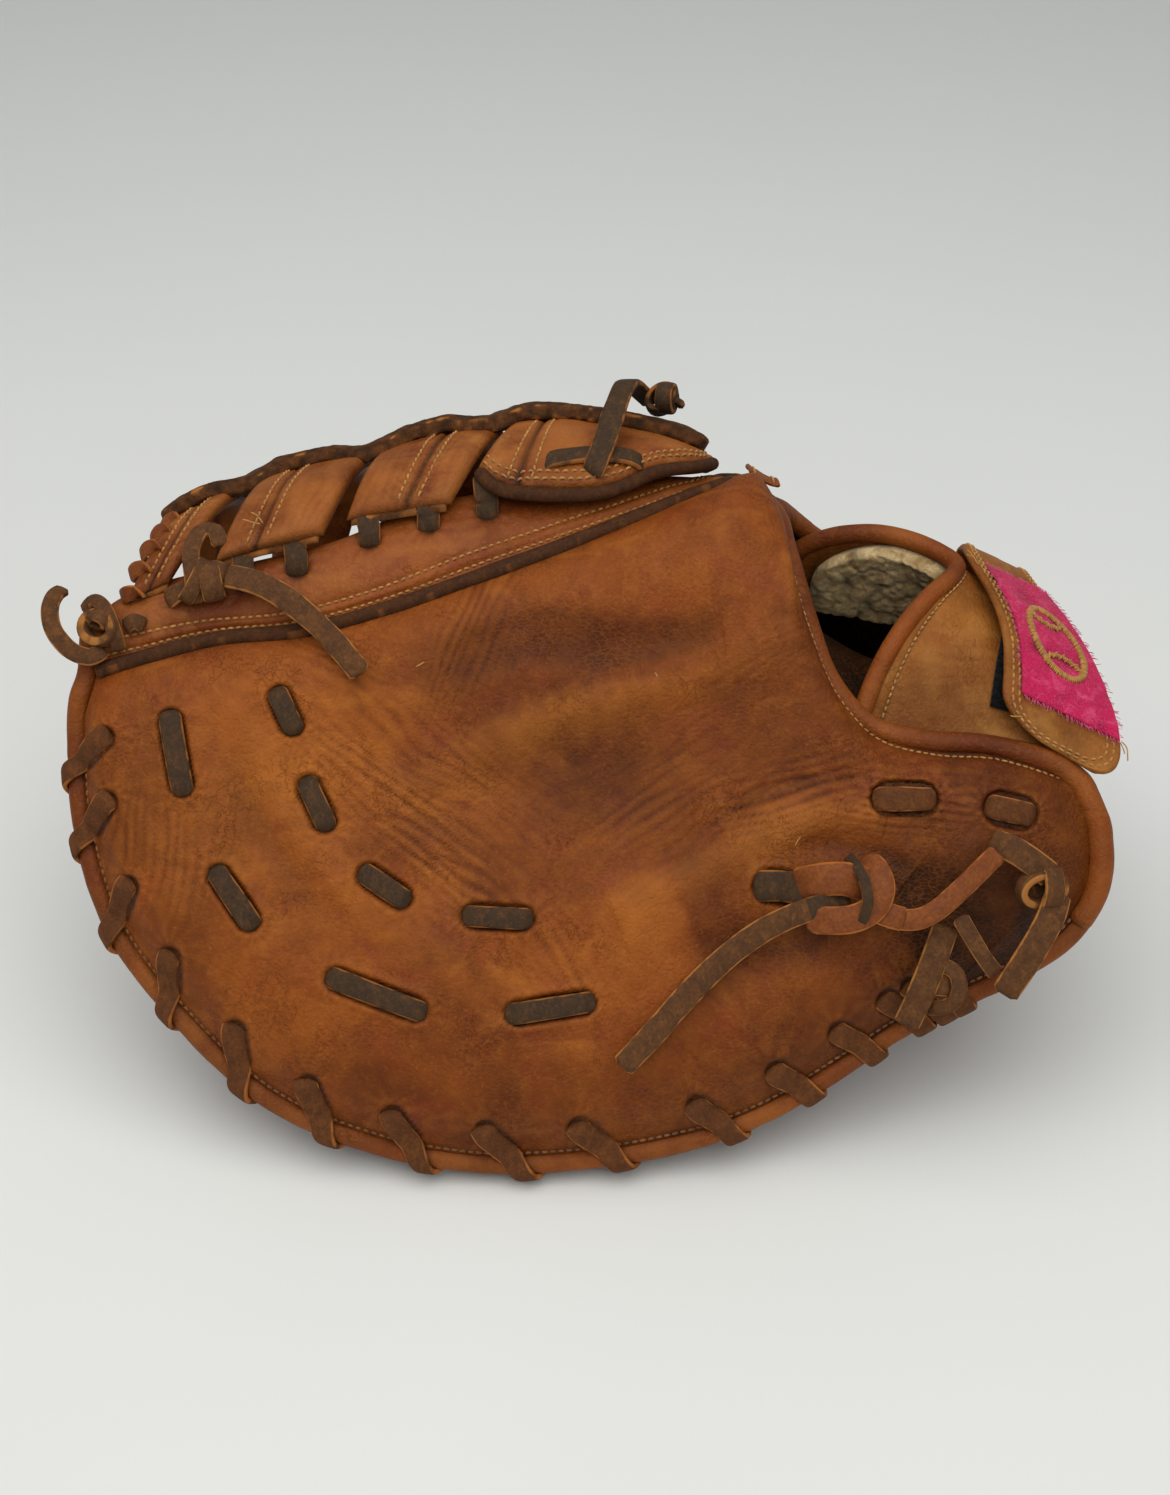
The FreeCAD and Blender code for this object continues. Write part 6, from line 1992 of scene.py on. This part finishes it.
ends = [slanted_end(over, s, turn, h, angle, 1, 6, seed)
        for s, turn, h, angle, seed in ((-100, 34, 14.2, 160, 361), (-99, 34.5, 14.2, 130, 362),
                                        (-50, 78, 19.5, 40, 363))]
mesh_piece("web_thread_ends", gather(*ends), GOLD, "fold", "thread")


# ---------------------------------------------------------------- room, light and camera
def make_backdrop():
    """Pale seamless floor that turns up into a wall far away on every side, with painted shade
    darkening it further out.
    """
    start, radius, sides = 2.6, 0.8, 96
    a = np.linspace(0, math.pi / 2, 17)
    line = [(0.05, 0.0), (0.4, 0.0), (1.2, 0.0)]
    line += list(zip(start + radius * np.sin(a), radius - radius * np.cos(a)))
    line = np.array(line + [(start + radius, 1.7)])
    turn = np.linspace(0, 2 * math.pi, sides, endpoint=False)[None]
    reach, height = line[:, :1], line[:, 1:]
    points = np.stack([reach * np.cos(turn), reach * np.sin(turn), height + 0 * turn], -1)
    mesh = bpy.data.meshes.new("backdrop")
    faces = grid_faces(len(line), sides, wrap=True) + [list(reversed(range(sides)))]
    mesh.from_pydata(points.reshape(-1, 3).tolist(), [], faces)
    mesh.shade_smooth()
    paper = Shader("backdrop_paper", roughness=0.75, specular=0.25)
    tone = paper.mix(paper.remap(paper.clouds(260, 2), 0.3, 0.7), (230, 231, 228), (227, 228, 224))
    away = paper.nodes.new("ShaderNodeVectorMath")
    away.operation = "LENGTH"
    paper.links.new(paper.place, away.inputs[0])
    # painted shade: darker further from the middle, in place of the light falling off
    tone = paper.mix(paper.remap(away.outputs["Value"], 0.25, 1.1), tone, (216, 217, 213))
    paper.bump((paper.clouds(1.2, 3), 0.02))
    mesh.materials.append(paper.done(tone))
    backdrop = bpy.data.objects.new("backdrop", mesh)
    bpy.context.scene.collection.objects.link(backdrop)


def area_light(name, spot, aim, size, watts, colour):
    light = bpy.data.lights.new(name, "AREA")
    light.shape = "RECTANGLE"
    light.size, light.size_y = size
    light.energy = watts
    light.color = colour
    lamp = bpy.data.objects.new(name, light)
    lamp.location = spot
    lamp.rotation_euler = (Vector(aim) - Vector(spot)).to_track_quat("-Z", "Y").to_euler()
    bpy.context.scene.collection.objects.link(lamp)


make_backdrop()
area_light("overhead", (-0.1, -0.42, 1.5), (0, -0.08, 0), (2.2, 1.8), 22, (1.0, 0.985, 0.96))
area_light("front_fill", (0.3, -1.6, 1.3), (0, -0.1, 0), (1.6, 0.8), 4.5, (0.97, 0.985, 1.0))
world = bpy.data.worlds.new("room")
world.use_nodes = True
world.node_tree.nodes["Background"].inputs["Color"].default_value = (0.93, 0.96, 1.0, 1)
world.node_tree.nodes["Background"].inputs["Strength"].default_value = 0.4
scene = bpy.context.scene
scene.world = world
scene.view_settings.view_transform = "Standard"

AIM = Vector((0.00147, -0.03359, 0.10832))
DOWN = math.radians(36)
DISTANCE = 0.75
lens = bpy.data.cameras.new("camera")
lens.lens = 58.9
lens.clip_start = 0.01
camera = bpy.data.objects.new("camera", lens)
camera.location = AIM + DISTANCE * Vector((0, -math.cos(DOWN), math.sin(DOWN)))
camera.rotation_euler = (math.pi / 2 - DOWN, 0, 0)
scene.collection.objects.link(camera)
scene.camera = camera
